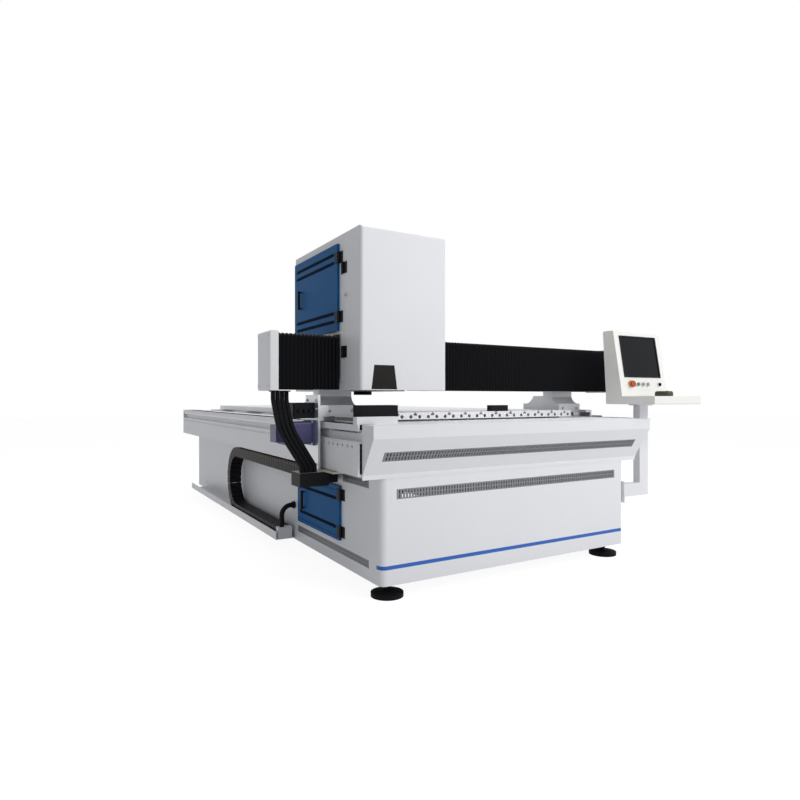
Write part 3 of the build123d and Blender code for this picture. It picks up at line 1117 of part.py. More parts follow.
def build():
    """Every piece by name, before the move to the machine's own origin."""
    lower_fixed, lower_moving = door_hinges(-HALF, LOWER_DOOR_AXIS, LOWER_DOOR_Z, LOWER_DOOR_HEIGHT)
    upper_fixed, upper_moving = door_hinges(CABINET_LEFT, UPPER_DOOR_AXIS, UPPER_DOOR_Z, UPPER_DOOR_HEIGHT)
    cover_axis = (LEFT_WALL_AXIS, COVER_HINGE_Y)
    cover_pairs = [
        hinge_pair(cover_axis, CABINET_BOTTOM + share * CABINET_HEIGHT, 1, CABINET_LEFT)
        for share in COVER_HINGE_SHARES
    ]
    foot_front = (BEAM_FRONT_GAP + PLATE, FOOT_BLOCK_FRONT - GAP)
    foot_back = (FOOT_BLOCK_BACK + GAP, BEAM_END - 2 * PLATE)
    window_y = (CABINET_FRONT + SHEET, CABINET_FRONT + SHEET + WINDOW_THICKNESS)
    pieces = {
        "base_shell": make_base_shell(),
        "bed_frame": make_bed_frame(),
        "table_profiles": make_table(),
        "side_beams": make_side_beams(),
        "apron": make_apron(),
        "vent_grilles": make_vents(),
        "guide_rails": make_guide_rails(),
        "rail_covers_front": cover_strips(foot_front),
        "rail_covers_rear": cover_strips(foot_back),
        "levelling_feet": make_levelling_feet(),
        "electrical_panel": make_electrical_panel(),
        "table_stops": make_table_stops(),
        "lower_door_hinge_leaves": group(*lower_fixed),
        "lower_door_hinge_knuckles": group(*lower_moving),
        "lower_door": door(-HALF, LOWER_DOOR_START, LOWER_DOOR_WIDTH, LOWER_DOOR_Z, LOWER_DOOR_HEIGHT),
        "lower_door_handle": pull_handle(-HALF, LOWER_DOOR_START + LOWER_DOOR_WIDTH - HANDLE_INSET,
                                         LOWER_DOOR_Z + LOWER_DOOR_HEIGHT / 2),
        "chain_tray": make_chain_tray(),
        "supply_cable": make_supply_cable(),
        "chain_lower_run": chain_run(CHAIN_FIXED_END, CHAIN_BEND_Y, CHAIN_LOW),
        "chain_upper_run": chain_run(CHAIN_MOVING_END, CHAIN_BEND_Y, CHAIN_TOP - CHAIN_HEIGHT),
        "chain_bend_lower": chain_bend(0, 90),
        "chain_bend_upper": chain_bend(90, 180),
        "chain_bracket": make_chain_bracket(),
        "cable_loom": make_cable_loom(),
        "bridge_beam": make_bridge_beam(),
        "bridge_rails": make_bridge_rails(),
        "bridge_feet": make_bridge_feet(),
        "bridge_blocks": make_bridge_blocks(),
        "bridge_caps": make_bridge_caps(),
        "drive_plates": make_drive_plates(),
        "drive_motors": make_drive_motors(),
        "pinions": make_pinions(),
        "bellows_left": bellows(-CAP_INNER, CABINET_LEFT),
        "bellows_right": bellows(CABINET_RIGHT, CAP_INNER),
        "carriage_frame": make_carriage_frame(),
        "carriage_blocks": make_carriage_blocks(),
        "cabinet_shell": make_cabinet_shell(),
        "hose_collar": make_hose_collar(),
        "laser_source": make_laser_source(),
        "z_module": make_z_module(),
        "cabinet_hinge_leaves": group(*upper_fixed, *[pair[0] for pair in cover_pairs]),
        "upper_door_hinge_knuckles": group(*upper_moving),
        "upper_door": door(CABINET_LEFT, UPPER_DOOR_START, UPPER_DOOR_WIDTH, UPPER_DOOR_Z, UPPER_DOOR_HEIGHT),
        "upper_door_handle": pull_handle(CABINET_LEFT, UPPER_DOOR_START + UPPER_DOOR_WIDTH - HANDLE_INSET,
                                         UPPER_DOOR_Z + UPPER_DOOR_HEIGHT / 2),
        "front_cover": make_front_cover(),
        "viewing_window": window_prism(WINDOW_LAP, window_y),
        "cover_hinge_knuckles": group(*[pair[1] for pair in cover_pairs]),
        "z_plate": make_z_plate(),
        "laser_head": make_laser_head(),
        "head_lens": make_head_lens(),
        "console_arm": make_console_arm(),
        "console_shell": make_console_shell(),
        "console_screen": make_console_screen(),
        "console_mouse": make_mouse(),
        "estop_button": make_estop(),
        "key_switch": make_key_switch(),
    }
    for name, place in BUTTON_PLACES.items():
        pieces[name] = push_button(place)
    return pieces


def machine_origin(pieces):
    """Bottom centre of the box around the whole machine."""
    boxes = [piece.bounding_box() for piece in pieces.values()]
    low = [min(getattr(box.min, axis) for box in boxes) for axis in "XYZ"]
    high = [max(getattr(box.max, axis) for box in boxes) for axis in "XYZ"]
    return ((low[0] + high[0]) / 2, (low[1] + high[1]) / 2, low[2])


def main():
    pieces = build()
    origin = machine_origin(pieces)
    os.makedirs("parts", exist_ok=True)
    for name, piece in pieces.items():
        export_step(Pos(*[-value for value in origin]) * piece, os.path.join("parts", name + ".step"))


if __name__ == "__main__":
    main()
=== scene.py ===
"""Dresses the gantry laser machine: materials, bellows, cable chain, cables, fastenings and the studio.

Metres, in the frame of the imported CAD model: +X right, +Y to the machine's rear, +Z up.
"""
import bpy
import bmesh
import math
from mathutils import Matrix, Vector


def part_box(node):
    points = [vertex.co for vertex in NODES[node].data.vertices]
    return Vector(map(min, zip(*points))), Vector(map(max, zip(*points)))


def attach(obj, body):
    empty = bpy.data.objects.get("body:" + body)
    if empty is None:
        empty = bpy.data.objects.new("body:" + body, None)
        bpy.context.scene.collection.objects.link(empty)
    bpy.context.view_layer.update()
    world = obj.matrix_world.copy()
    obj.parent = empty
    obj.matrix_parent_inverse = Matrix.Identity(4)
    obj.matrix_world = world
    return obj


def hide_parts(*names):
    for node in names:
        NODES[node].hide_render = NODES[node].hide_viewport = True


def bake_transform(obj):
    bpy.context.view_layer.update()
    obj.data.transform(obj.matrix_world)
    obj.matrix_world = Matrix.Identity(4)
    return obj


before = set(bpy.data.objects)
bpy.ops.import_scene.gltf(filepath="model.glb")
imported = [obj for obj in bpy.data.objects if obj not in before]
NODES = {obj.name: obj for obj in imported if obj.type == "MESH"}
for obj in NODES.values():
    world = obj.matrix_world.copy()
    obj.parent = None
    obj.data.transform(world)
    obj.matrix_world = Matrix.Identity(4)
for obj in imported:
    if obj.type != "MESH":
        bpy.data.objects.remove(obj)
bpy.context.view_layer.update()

# The bed's front, which the camera is placed from
BED_LOW, BED_HIGH = [Vector(corner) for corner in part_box("base_shell")]
BED_FRONT = Vector(((BED_LOW.x + BED_HIGH.x) / 2, BED_LOW.y, 0.0))

# Camera, matched to the photograph
CAMERA_PLACE = BED_FRONT + Vector((-2.194, -2.448, 0.966))
CAMERA_YAW = math.radians(-30.6)
CAMERA_LENS = 26.775
CAMERA_SENSOR = 36.0
CAMERA_SHIFT_Y = -0.0025

# Studio
WORLD_LIGHT = 0.34
WORLD_TINT = (0.97, 0.985, 1.0, 1.0)
KEY_LIGHT = {"place": (2.2, -6.4, 4.0), "target": (0, -1.2, 0.7), "size": 4.5, "power": 212.0}
TOP_LIGHT = {"place": (0.4, -0.6, 5.6), "target": (0, -0.6, 0.6), "size": 4.0, "power": 110.0}
FLOOR_SIZE = 60.0
FLOOR_DROP = 0.0005
FLOOR_COLOUR = (0.85, 0.85, 0.86, 1.0)
FLOOR_ROUGHNESS = 0.9
FLOOR_GLOW = 0.92
FLOOR_SHADE = 0.20

# Colours, linear
WHITE = (0.80, 0.808, 0.835)
SHADE_WHITE = (0.70, 0.71, 0.735)
BLUE = (0.010, 0.112, 0.31)
STRIPE_BLUE = (0.03, 0.13, 0.50)
BLACK = (0.006, 0.006, 0.008)
SOFT_BLACK = (0.011, 0.011, 0.014)
SILVER = (0.60, 0.61, 0.63)
PROFILE_SILVER = (0.74, 0.745, 0.76)
CAST_SILVER = (0.74, 0.75, 0.78)
STEEL = (0.44, 0.45, 0.47)
VENT_GREY = (0.22, 0.225, 0.235)
BEIGE = (0.56, 0.53, 0.44)
MOTOR_VIOLET = (0.055, 0.055, 0.16)
OLIVE = (0.035, 0.036, 0.018)
RED = (0.50, 0.012, 0.010)
GREEN = (0.012, 0.20, 0.035)
YELLOW = (0.62, 0.42, 0.02)
GREY = (0.30, 0.30, 0.31)
CONSOLE_WHITE = (0.88, 0.875, 0.84)
BRONZE = (0.16, 0.075, 0.03)
# Painted shade: near-black blue for the strips that stand for the shade inside the doors' grooves
GROOVE_SHADE_BLUE = (0.002, 0.012, 0.026)
WINDOW_BROWN = (0.016, 0.014, 0.013)
SCREEN_BLACK = (0.004, 0.005, 0.007)
LENS_BLUE = (0.02, 0.05, 0.09)

# What all finishes share
CLOUD_DETAIL = 6.0
GRAIN_DETAIL = 3.0
GRAIN_RANGE = (0.3, 0.7)
RELIEF_DEPTH = 0.0003
GLOSS_SPREAD = 0.06
LEAST_ROUGHNESS = 0.02
COAT_ROUGHNESS = 0.15

# Rounded edges
BEVEL_SEGMENTS = 2
BEVEL_ANGLE = math.radians(40)

# Blue line along the front of the bed
STRIPE_LOW = 0.152
STRIPE_HIGH = 0.171
STRIPE_REACH = 0.045

# Plate on top of the chain's clamp
BRACKET_PLATE = 0.0075

# Bellows, and the strips over the rail channels
PLEAT = 0.0215
LEAST_PLEATS = 4
PLEAT_DEPTH = 0.011
PLEAT_SHEET = 0.003
PLEAT_CORNER = 0.02
CORNER_STEPS = 4
COVER_RIB = 0.012
COVER_RIB_DEPTH = 0.0016

# Cable chain
LINK_PITCH = 0.046
LINK_WALL = 0.011
LINK_BAR = 0.041
LINK_SIDE_SHARE = 0.94
# Inner plates: walls from the outside to their inner face, and shares of the link's height
LINK_INNER_REACH = 1.7
LINK_INNER_BAND = (0.15, 0.85)
# Cross bars: shares of the link's height
LINK_BAR_BANDS = ((0.02, 0.12), (0.88, 0.98))
LEAST_BEND_LINKS = 2
PIN_RADIUS = 0.006
PIN_HEIGHT = 0.002
PIN_SIDES = 16

# Painted shade in the doors' grooves: dark strips, at shares of the doors' height
LOUVRE_HEIGHT = 0.018
LOUVRE_MARGIN = 0.045
LOUVRE_PROUD = 0.001
UPPER_LOUVRES = (0.1124, 0.2076, 0.7924, 0.8876)
LOWER_LOUVRES = (0.2359, 0.7641)

# Corrugated conduits; the rate is the wave texture's own
CONDUIT_RIB = 0.006
CONDUIT_RIB_DEPTH = 0.002
WAVE_RATE = 10.0

# Socket-head screws, in shares of the head's radius or height
BOLT_SIDES = 24
BOLT_HEAD_HEIGHT = 0.75
BOLT_WASHER_REACH = 1.5
BOLT_WASHER = 0.18
BOLT_CHAMFER_START = 0.85
BOLT_CHAMFER_REACH = 0.88
BOLT_SOCKET = 0.55
BOLT_SOCKET_FLOOR = 0.4

# Where the screws sit: head radius, and places as on the CAD parts they hold
CAP_SCREW = 0.0045
CAP_SCREW_INSET = 0.022
PLATE_SCREW = 0.006
MOTOR_FLANGE = 0.014
MOTOR_SCREW_SPREAD = (0.056, 0.056)
TIE_SCREW_DROP = 0.05
TIE_SCREW_SPREAD = (0.06, 0.022)
PLATE_SCREW_INSET = 0.025
PLATE_SCREW_LIFT = 0.03
FOOT_WIDTH = 0.193
FOOT_SCREW_SHIFT = 0.065
FOOT_SCREW_LIFT = 0.029
BEAM_WIDTH = 0.180
BEAM_SCREW_SPREAD = (0.07, 0.095)
ARM_SCREW = 0.008
ARM_FLANGE_THICKNESS = 0.008
ARM_FLANGE_HALF = 0.065
ARM_SCREW_SPREAD = (0.052, 0.052)

# Black skin, lid and glands on the left motor's junction box
JUNCTION_LENGTH = 0.110
JUNCTION_DEPTH = 0.116
JUNCTION_HEIGHT = 0.078
JUNCTION_SKIN = 0.0012
JUNCTION_GAP = 0.0005
JUNCTION_BEVEL = 0.0025
LID = 0.006
GLAND_SHIFTS = (-0.03, 0.0, 0.03)
GLAND_RADIUS = 0.010
GLAND_LENGTH = 0.016
GLAND_SIDES = 16

# Console
CONSOLE_YAW = math.radians(-2.0)
SCREEN_TILT = math.radians(10.0)
SCREEN_HALF_DEPTH = 0.003
SCREEN_SIZE = (0.338, 0.270)
SCREEN_FRAME = 0.011
# Rings of the screen's frame: inset from its outer edge, and height over the console's face
FRAME_RINGS = ((0.0, 0.0002), (0.0, 0.004), (0.004, 0.005), (SCREEN_FRAME, 0.0035), (SCREEN_FRAME + 0.001, 0.0002))
COLLAR_LIFT = 0.0003
COLLAR_RADII = (0.0235, 0.0228)
COLLAR_HEIGHT = 0.0092
COLLAR_SIDES = 40
WHEEL_FRONT = 0.030
WHEEL_DROP = 0.0045
WHEEL_RADIUS = 0.007
WHEEL_WIDTH = 0.008
WHEEL_BEVEL = 0.001

# Lock on the cover's side: a rosette, a barrel and a grip across it
LOCK_INSET = 0.020
LOCK_Z = 1.505
LOCK_SIDES = 32
ROSETTE_RADIUS = 0.014
ROSETTE = 0.004
BARREL_RADII = (0.010, 0.009)
BARREL = 0.005
GRIP = 0.0035
GRIP_HALF_WIDTH = 0.0014
GRIP_HALF_HEIGHT = 0.007
LOCK_BEVEL = 0.0008

# Glass of the laser head's lens
LENS_SEGMENTS = (40, 12)
LENS_LIFT = 0.005
LENS_HALF_SIZE = (0.0365, 0.0365, 0.004)

# Servo drives: heights from the middle of the drives, depths from their fronts
DRIVE_COUNT = 4
DRIVE_PITCH = 0.125
DRIVE_HALF_WIDTH = 0.036
DRIVE_COVER = 0.006
DRIVE_COVER_Z = (-0.085, 0.092)
DRIVE_BEVEL = 0.0012
FIN_COUNT = 9
FIN_START = -0.075
FIN_PITCH = 0.008
FIN_HEIGHT = 0.004
FIN_DEPTH = 0.009
FIN_HALF_WIDTH = 0.030
UPPER_TERMINAL_Z = (0.045, 0.062)
UPPER_TERMINAL_DEPTH = 0.014
LOWER_TERMINAL_Z = (-0.103, -0.088)
LOWER_TERMINAL_DEPTH = 0.010
TERMINAL_BEVEL = 0.0008


# Materials
def new_material(name):
    material = bpy.data.materials.new(name)
    material.use_nodes = True
    return material, material.node_tree.nodes, material.node_tree.links, material.node_tree.nodes["Principled BSDF"]


def scaled(colour, factor):
    return (*[min(1.0, c * factor) for c in colour], 1.0)


def surface(name, colour, roughness, metallic=0.0, cloud=0.03, cloud_scale=2.2, grain=420.0, relief=0.12,
            stretch=(1, 1, 1), coat=0.0, specular=0.5):
    """A finish with cloudy colour, uneven gloss and a fine relief."""
    material, nodes, links, bsdf = new_material(name)
    bsdf.inputs["Metallic"].default_value = metallic
    bsdf.inputs["Coat Weight"].default_value = coat
    bsdf.inputs["Coat Roughness"].default_value = COAT_ROUGHNESS
    bsdf.inputs["Specular IOR Level"].default_value = specular
    place = nodes.new("ShaderNodeTexCoord")
    mapping = nodes.new("ShaderNodeMapping")
    mapping.inputs["Scale"].default_value = stretch
    links.new(place.outputs["Object"], mapping.inputs["Vector"])
    broad = nodes.new("ShaderNodeTexNoise")
    broad.inputs["Scale"].default_value = cloud_scale
    broad.inputs["Detail"].default_value = CLOUD_DETAIL
    links.new(place.outputs["Object"], broad.inputs["Vector"])
    fine = nodes.new("ShaderNodeTexNoise")
    fine.inputs["Scale"].default_value = grain
    fine.inputs["Detail"].default_value = GRAIN_DETAIL
    links.new(mapping.outputs["Vector"], fine.inputs["Vector"])
    tint = nodes.new("ShaderNodeMix")
    tint.data_type = "RGBA"
    tint.inputs["A"].default_value = scaled(colour, 1 - cloud)
    tint.inputs["B"].default_value = scaled(colour, 1 + cloud)
    links.new(broad.outputs["Fac"], tint.inputs["Factor"])
    links.new(tint.outputs["Result"], bsdf.inputs["Base Color"])
    gloss = nodes.new("ShaderNodeMapRange")
    gloss.inputs["From Min"].default_value, gloss.inputs["From Max"].default_value = GRAIN_RANGE
    gloss.inputs["To Min"].default_value = max(LEAST_ROUGHNESS, roughness - GLOSS_SPREAD)
    gloss.inputs["To Max"].default_value = min(1.0, roughness + GLOSS_SPREAD)
    links.new(fine.outputs["Fac"], gloss.inputs["Value"])
    links.new(gloss.outputs["Result"], bsdf.inputs["Roughness"])
    bump = nodes.new("ShaderNodeBump")
    bump.inputs["Strength"].default_value = relief
    bump.inputs["Distance"].default_value = RELIEF_DEPTH
    links.new(fine.outputs["Fac"], bump.inputs["Height"])
    links.new(bump.outputs["Normal"], bsdf.inputs["Normal"])
    return material


def add_ribs(material, pitch, depth):
    """Rings along Z, as on a corrugated conduit, on top of the finish's own relief."""
    nodes, links = material.node_tree.nodes, material.node_tree.links
    bsdf = nodes["Principled BSDF"]
    fine = bsdf.inputs["Normal"].links[0].from_socket
    place = nodes.new("ShaderNodeTexCoord")
    wave = nodes.new("ShaderNodeTexWave")
    wave.bands_direction = "Z"
    wave.inputs["Scale"].default_value = math.pi / (WAVE_RATE * pitch)
    links.new(place.outputs["Object"], wave.inputs["Vector"])
    bump = nodes.new("ShaderNodeBump")
    bump.inputs["Distance"].default_value = depth
    links.new(wave.outputs["Fac"], bump.inputs["Height"])
    links.new(fine, bump.inputs["Normal"])
    links.new(bump.outputs["Normal"], bsdf.inputs["Normal"])


def compare(nodes, links, value, limit, above):
    """1 where value is above (or below) a limit."""
    node = nodes.new("ShaderNodeMath")
    node.operation = "GREATER_THAN" if above else "LESS_THAN"
    links.new(value, node.inputs[0])
    node.inputs[1].default_value = limit
    return node.outputs["Value"]


def times(nodes, links, first, second):
    node = nodes.new("ShaderNodeMath")
    node.operation = "MULTIPLY"
    links.new(first, node.inputs[0])
    links.new(second, node.inputs[1])
    return node.outputs["Value"]


def add_stripe(material, colour, low, high, back):
    """Paints a band between two heights on whatever lies in front of a Y value."""
    nodes, links = material.node_tree.nodes, material.node_tree.links
    bsdf = nodes["Principled BSDF"]
    old = bsdf.inputs["Base Color"].links[0].from_socket
    place = nodes.new("ShaderNodeTexCoord")
    split = nodes.new("ShaderNodeSeparateXYZ")
    links.new(place.outputs["Object"], split.inputs["Vector"])
    band = times(nodes, links, compare(nodes, links, split.outputs["Z"], low, True),
                 compare(nodes, links, split.outputs["Z"], high, False))
    band = times(nodes, links, band, compare(nodes, links, split.outputs["Y"], back, False))
    mix = nodes.new("ShaderNodeMix")
    mix.data_type = "RGBA"
    links.new(band, mix.inputs["Factor"])
    links.new(old, mix.inputs["A"])
    mix.inputs["B"].default_value = (*colour, 1.0)
    links.new(mix.outputs["Result"], bsdf.inputs["Base Color"])


white = surface("powder_white", WHITE, 0.42, cloud=0.02, coat=0.04, specular=0.3)
shade_white = surface("frame_white", SHADE_WHITE, 0.45, cloud=0.03, specular=0.3)
striped = surface("powder_white_striped", WHITE, 0.42, cloud=0.02, coat=0.04, specular=0.3)
blue = surface("door_blue", BLUE, 0.45, cloud=0.06, specular=0.05)
black_plastic = surface("black_plastic", SOFT_BLACK, 0.45, cloud=0.15, grain=900.0, relief=0.2, specular=0.08)
black_rubber = surface("black_rubber", BLACK, 0.7, cloud=0.2, grain=700.0, relief=0.25, specular=0.1)
bellows_cloth = surface("bellows_cloth", BLACK, 0.62, cloud=0.2, grain=1500.0, relief=0.3, specular=0.12)
profile_silver = surface("anodised_profile", PROFILE_SILVER, 0.38, metallic=0.4, cloud=0.05, grain=600.0,
                         stretch=(1, 0.02, 1), relief=0.15)
cast_silver = surface("silver_casting", CAST_SILVER, 0.42, metallic=0.3, cloud=0.06, grain=260.0, relief=0.25)
plate_silver = surface("machined_plate", SILVER, 0.34, metallic=0.8, cloud=0.06, grain=500.0, stretch=(1, 1, 0.03))
steel = surface("ground_steel", STEEL, 0.28, metallic=1.0, cloud=0.06, grain=800.0, stretch=(0.03, 0.03, 1))
vent_metal = surface("vent_sheet", VENT_GREY, 0.5, metallic=0.4, cloud=0.08)
beige = surface("beige_plate", BEIGE, 0.5, cloud=0.05)
violet = surface("motor_paint", MOTOR_VIOLET, 0.42, cloud=0.1, grain=300.0, relief=0.3)
window_dark = surface("smoked_window", WINDOW_BROWN, 0.2, cloud=0.4, cloud_scale=9.0, relief=0.02,
                      specular=0.12)
screen_dark = surface("screen_glass", SCREEN_BLACK, 0.16, cloud=0.1, relief=0.02, specular=0.15)
olive = surface("mouse_shell", OLIVE, 0.4, cloud=0.1, grain=1200.0)
red = surface("stop_red", RED, 0.3, cloud=0.06, coat=0.3)
green = surface("start_green", GREEN, 0.3, cloud=0.06, coat=0.3)
yellow = surface("collar_yellow", YELLOW, 0.4, cloud=0.05)
grey = surface("button_grey", GREY, 0.35, cloud=0.05, coat=0.2)
lens_glass = surface("lens_glass", LENS_BLUE, 0.06, cloud=0.2, relief=0.01, coat=1.0)
conduit_black = surface("conduit", BLACK, 0.6, cloud=0.15, grain=900.0, specular=0.12)
add_ribs(conduit_black, CONDUIT_RIB, CONDUIT_RIB_DEPTH)
console_white = surface("console_white", CONSOLE_WHITE, 0.38, cloud=0.02, coat=0.1)
# Painted shade inside the doors' grooves, laid on as thin dark strips
painted_groove_shade = surface("painted_groove_shade", GROOVE_SHADE_BLUE, 0.7, cloud=0.1, specular=0.02)
bronze = surface("pin_bronze", BRONZE, 0.45, metallic=0.4, cloud=0.1)

FINISHES = {
    "base_shell": striped, "apron": white, "side_beams": white, "cabinet_shell": white, "front_cover": white,
    "bridge_caps": white, "console_shell": console_white, "console_arm": white, "chain_tray": white,
    "bed_frame": shade_white, "bridge_beam": shade_white, "carriage_frame": shade_white,
    "electrical_panel": black_plastic, "table_profiles": profile_silver, "bridge_feet": cast_silver,
    "drive_plates": plate_silver, "z_plate": plate_silver, "guide_rails": steel, "bridge_rails": steel,
    "bridge_blocks": steel, "carriage_blocks": steel, "pinions": steel, "vent_grilles": vent_metal,
    "chain_bracket": beige, "levelling_feet": black_rubber, "table_stops": black_plastic,
    "lower_door_hinge_leaves": black_plastic, "lower_door_hinge_knuckles": black_plastic,
    "upper_door_hinge_knuckles": black_plastic, "cabinet_hinge_leaves": black_plastic,
    "cover_hinge_knuckles": black_plastic, "lower_door_handle": black_plastic, "upper_door_handle": black_plastic,
    "hose_collar": black_rubber, "cable_loom": conduit_black, "supply_cable": conduit_black,
    "z_module": black_plastic, "laser_head": black_plastic, "head_lens": steel,
    "key_switch": black_plastic, "laser_source": shade_white, "lower_door": blue, "upper_door": blue,
    "drive_motors": violet, "viewing_window": window_dark, "console_screen": screen_dark,
    "console_mouse": olive, "estop_button": red, "start_button": green, "pause_button": grey,
    "reset_button": grey,
}
BEVELS = {
    "apron": 0.0025, "side_beams": 0.003, "console_shell": 0.002, "console_arm": 0.004, "chain_tray": 0.001,
    "bridge_feet": 0.005, "drive_plates": 0.002, "table_profiles": 0.001, "lower_door": 0.0025,
    "upper_door": 0.0025, "lower_door_handle": 0.002, "upper_door_handle": 0.002, "table_stops": 0.004,
    "drive_motors": 0.003, "chain_bracket": 0.0015, "console_mouse": 0.002, "estop_button": 0.001,
    "levelling_feet": 0.002, "laser_head": 0.003, "z_module": 0.002, "laser_source": 0.004,
}


def bevel(obj, width):
    modifier = obj.modifiers.new("edges", "BEVEL")
    modifier.width = width
    modifier.segments = BEVEL_SEGMENTS
    modifier.limit_method = "ANGLE"
    modifier.angle_limit = BEVEL_ANGLE


def paint(obj, material):
    obj.data.materials.clear()
    obj.data.materials.append(material)


add_stripe(striped, STRIPE_BLUE, STRIPE_LOW, STRIPE_HIGH, BED_LOW.y + STRIPE_REACH)
for name, finish in FINISHES.items():
    paint(NODES[name], finish)
for name, width in BEVELS.items():
    bevel(NODES[name], width)


def darken_clamp():
    """The chain's bracket is a light plate on a black clamp: the faces under the plate turn black."""
    mesh = NODES["chain_bracket"].data
    mesh.materials.append(black_plastic)
    plate_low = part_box("chain_bracket")[1][2] - BRACKET_PLATE
    for face in mesh.polygons:
        if face.center.z < plate_low:
            face.material_index = 1


darken_clamp()


# Building blocks for new pieces
def link_object(name, mesh, material):
    obj = bpy.data.objects.new(name, mesh)
    bpy.context.scene.collection.objects.link(obj)
    paint(obj, material)
    return obj


def place_mesh(name, verts, faces, material):
    mesh = bpy.data.meshes.new(name)
    mesh.from_pydata([tuple(v) for v in verts], [], faces)
    mesh.update()
    return link_object(name, mesh, material)


def place_bmesh(name, bm, material, smooth=False):
    mesh = bpy.data.meshes.new(name)
    bmesh.ops.recalc_face_normals(bm, faces=bm.faces)
    bm.to_mesh(mesh)
    bm.free()
    if smooth:
        mesh.polygons.foreach_set("use_smooth", [True] * len(mesh.polygons))
    return link_object(name, mesh, material)


def add_box(bm, low, high):
    middle = [(a + b) / 2 for a, b in zip(low, high)]
    size = [b - a for a, b in zip(low, high)]
    matrix = Matrix.Translation(middle) @ Matrix.Diagonal((*size, 1.0))
    return bmesh.ops.create_cube(bm, size=1.0, matrix=matrix)["verts"]


def turn_to(direction):
    """Rotation that takes +Z to a direction."""
    return Vector((0, 0, 1)).rotation_difference(Vector(direction).normalized()).to_matrix().to_4x4()


def add_round(bm, base, direction, radius, height, sides=24, top_radius=None):
    matrix = Matrix.Translation(base) @ turn_to(direction) @ Matrix.Translation((0, 0, height / 2))
    bmesh.ops.create_cone(bm, cap_ends=True, segments=sides, radius1=radius, depth=height, matrix=matrix,
                          radius2=radius if top_radius is None else top_radius)


# Bellows over the bridge
def make_bellows(node):
    """A pleated inverted U between a bridge cap and the cabinet."""
    low, high = [Vector(v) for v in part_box(node)]
    count = max(LEAST_PLEATS, round((high.x - low.x) / PLEAT))

    def outline(inset):
        front, back, top, bottom = low.y + inset, high.y - inset, high.z - inset, low.z
        rise, fall = [(front, bottom)], [(back, bottom)]
        for step in range(CORNER_STEPS + 1):
            angle = math.pi / 2 * step / CORNER_STEPS
            in_by, down_by = PLEAT_CORNER * (1 - math.cos(angle)), PLEAT_CORNER * (1 - math.sin(angle))
            rise.append((front + in_by, top - down_by))
            fall.append((back - in_by, top - down_by))
        return rise + fall[::-1]

    ridge, valley = outline(0.0), outline(PLEAT_DEPTH)
    stations = []
    for i in range(2 * count + 1):
        x = low.x + (high.x - low.x) * i / (2 * count)
        stations.append((x, valley if i % 2 == 0 else ridge))
    verts, faces, size = [], [], len(ridge)
    for x, points in stations:
        verts += [(x, y, z) for y, z in points]
    for i in range(len(stations) - 1):
        for j in range(size - 1):
            faces.append((i * size + j, (i + 1) * size + j, (i + 1) * size + j + 1, i * size + j + 1))
    obj = place_mesh(node + "_pleats", verts, faces, bellows_cloth)
    solid = obj.modifiers.new("cloth", "SOLIDIFY")
    solid.thickness = PLEAT_SHEET
    solid.offset = -1.0
    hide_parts(node)
    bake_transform(obj)


make_bellows("bellows_left")
make_bellows("bellows_right")


# Strips over the rail channels
def strip_width():
    """Width of one strip, read from the front strips' mesh."""
    xs = [v.co.x for v in NODES["rail_covers_front"].data.vertices]
    return max(x for x in xs if x < 0) - min(xs)


def make_rail_covers(node):
    """Fine-ribbed strips on both beams, in front of the feet, or behind them."""
    low, high = [Vector(v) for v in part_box(node)]
    width = strip_width()
    count = round((high.y - low.y) / COVER_RIB)
    verts, faces = [], []
    for x0, x1 in ((low.x, low.x + width), (high.x - width, high.x)):
        start = len(verts)
        for i in range(2 * count + 1):
            y = low.y + (high.y - low.y) * i / (2 * count)
            top = high.z - (COVER_RIB_DEPTH if i % 2 else 0.0)
            verts += [(x0, y, low.z), (x0, y, top), (x1, y, top), (x1, y, low.z)]
        for i in range(2 * count):
            a, b = start + 4 * i, start + 4 * (i + 1)
            faces += [(a + j, b + j, b + j + 1, a + j + 1) for j in range(3)]
            faces.append((a + 3, b + 3, b, a))
        faces += [(start, start + 1, start + 2, start + 3)]
        last = start + 8 * count
        faces += [(last + 3, last + 2, last + 1, last)]
    obj = place_mesh(node + "_ribs", verts, faces, black_rubber)
    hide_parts(node)
    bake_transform(obj)


make_rail_covers("rail_covers_front")
make_rail_covers("rail_covers_rear")


# Cable chain
def add_link(bm, place, height, width):
    """One chain link in its own frame: X across, Y along, Z up from the run's inside; place maps it."""
    length = LINK_PITCH * LINK_SIDE_SHARE
    half = width / 2
    made = []
    for side in (-1, 1):
        x0, x1 = sorted((side * half, side * (half - LINK_WALL)))
        made += add_box(bm, (x0, -length / 2, 0), (x1, length / 2, height))
        inner0, inner1 = sorted((side * (half - LINK_WALL), side * (half - LINK_INNER_REACH * LINK_WALL)))
        made += add_box(bm, (inner0, -LINK_PITCH / 2, LINK_INNER_BAND[0] * height),
                        (inner1, LINK_PITCH / 2, LINK_INNER_BAND[1] * height))
    for bottom, top in LINK_BAR_BANDS:
        made += add_box(bm, (-half + LINK_WALL, -LINK_BAR / 2, bottom * height),
                        (half - LINK_WALL, LINK_BAR / 2, top * height))
    for vert in made:
        vert.co = place(vert.co)


def chain_box():
    """Middle across, width and height of a chain run."""
    low, high = [Vector(v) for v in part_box("chain_upper_run")]
    return (low.x + high.x) / 2, high.x - low.x, high.z - low.z


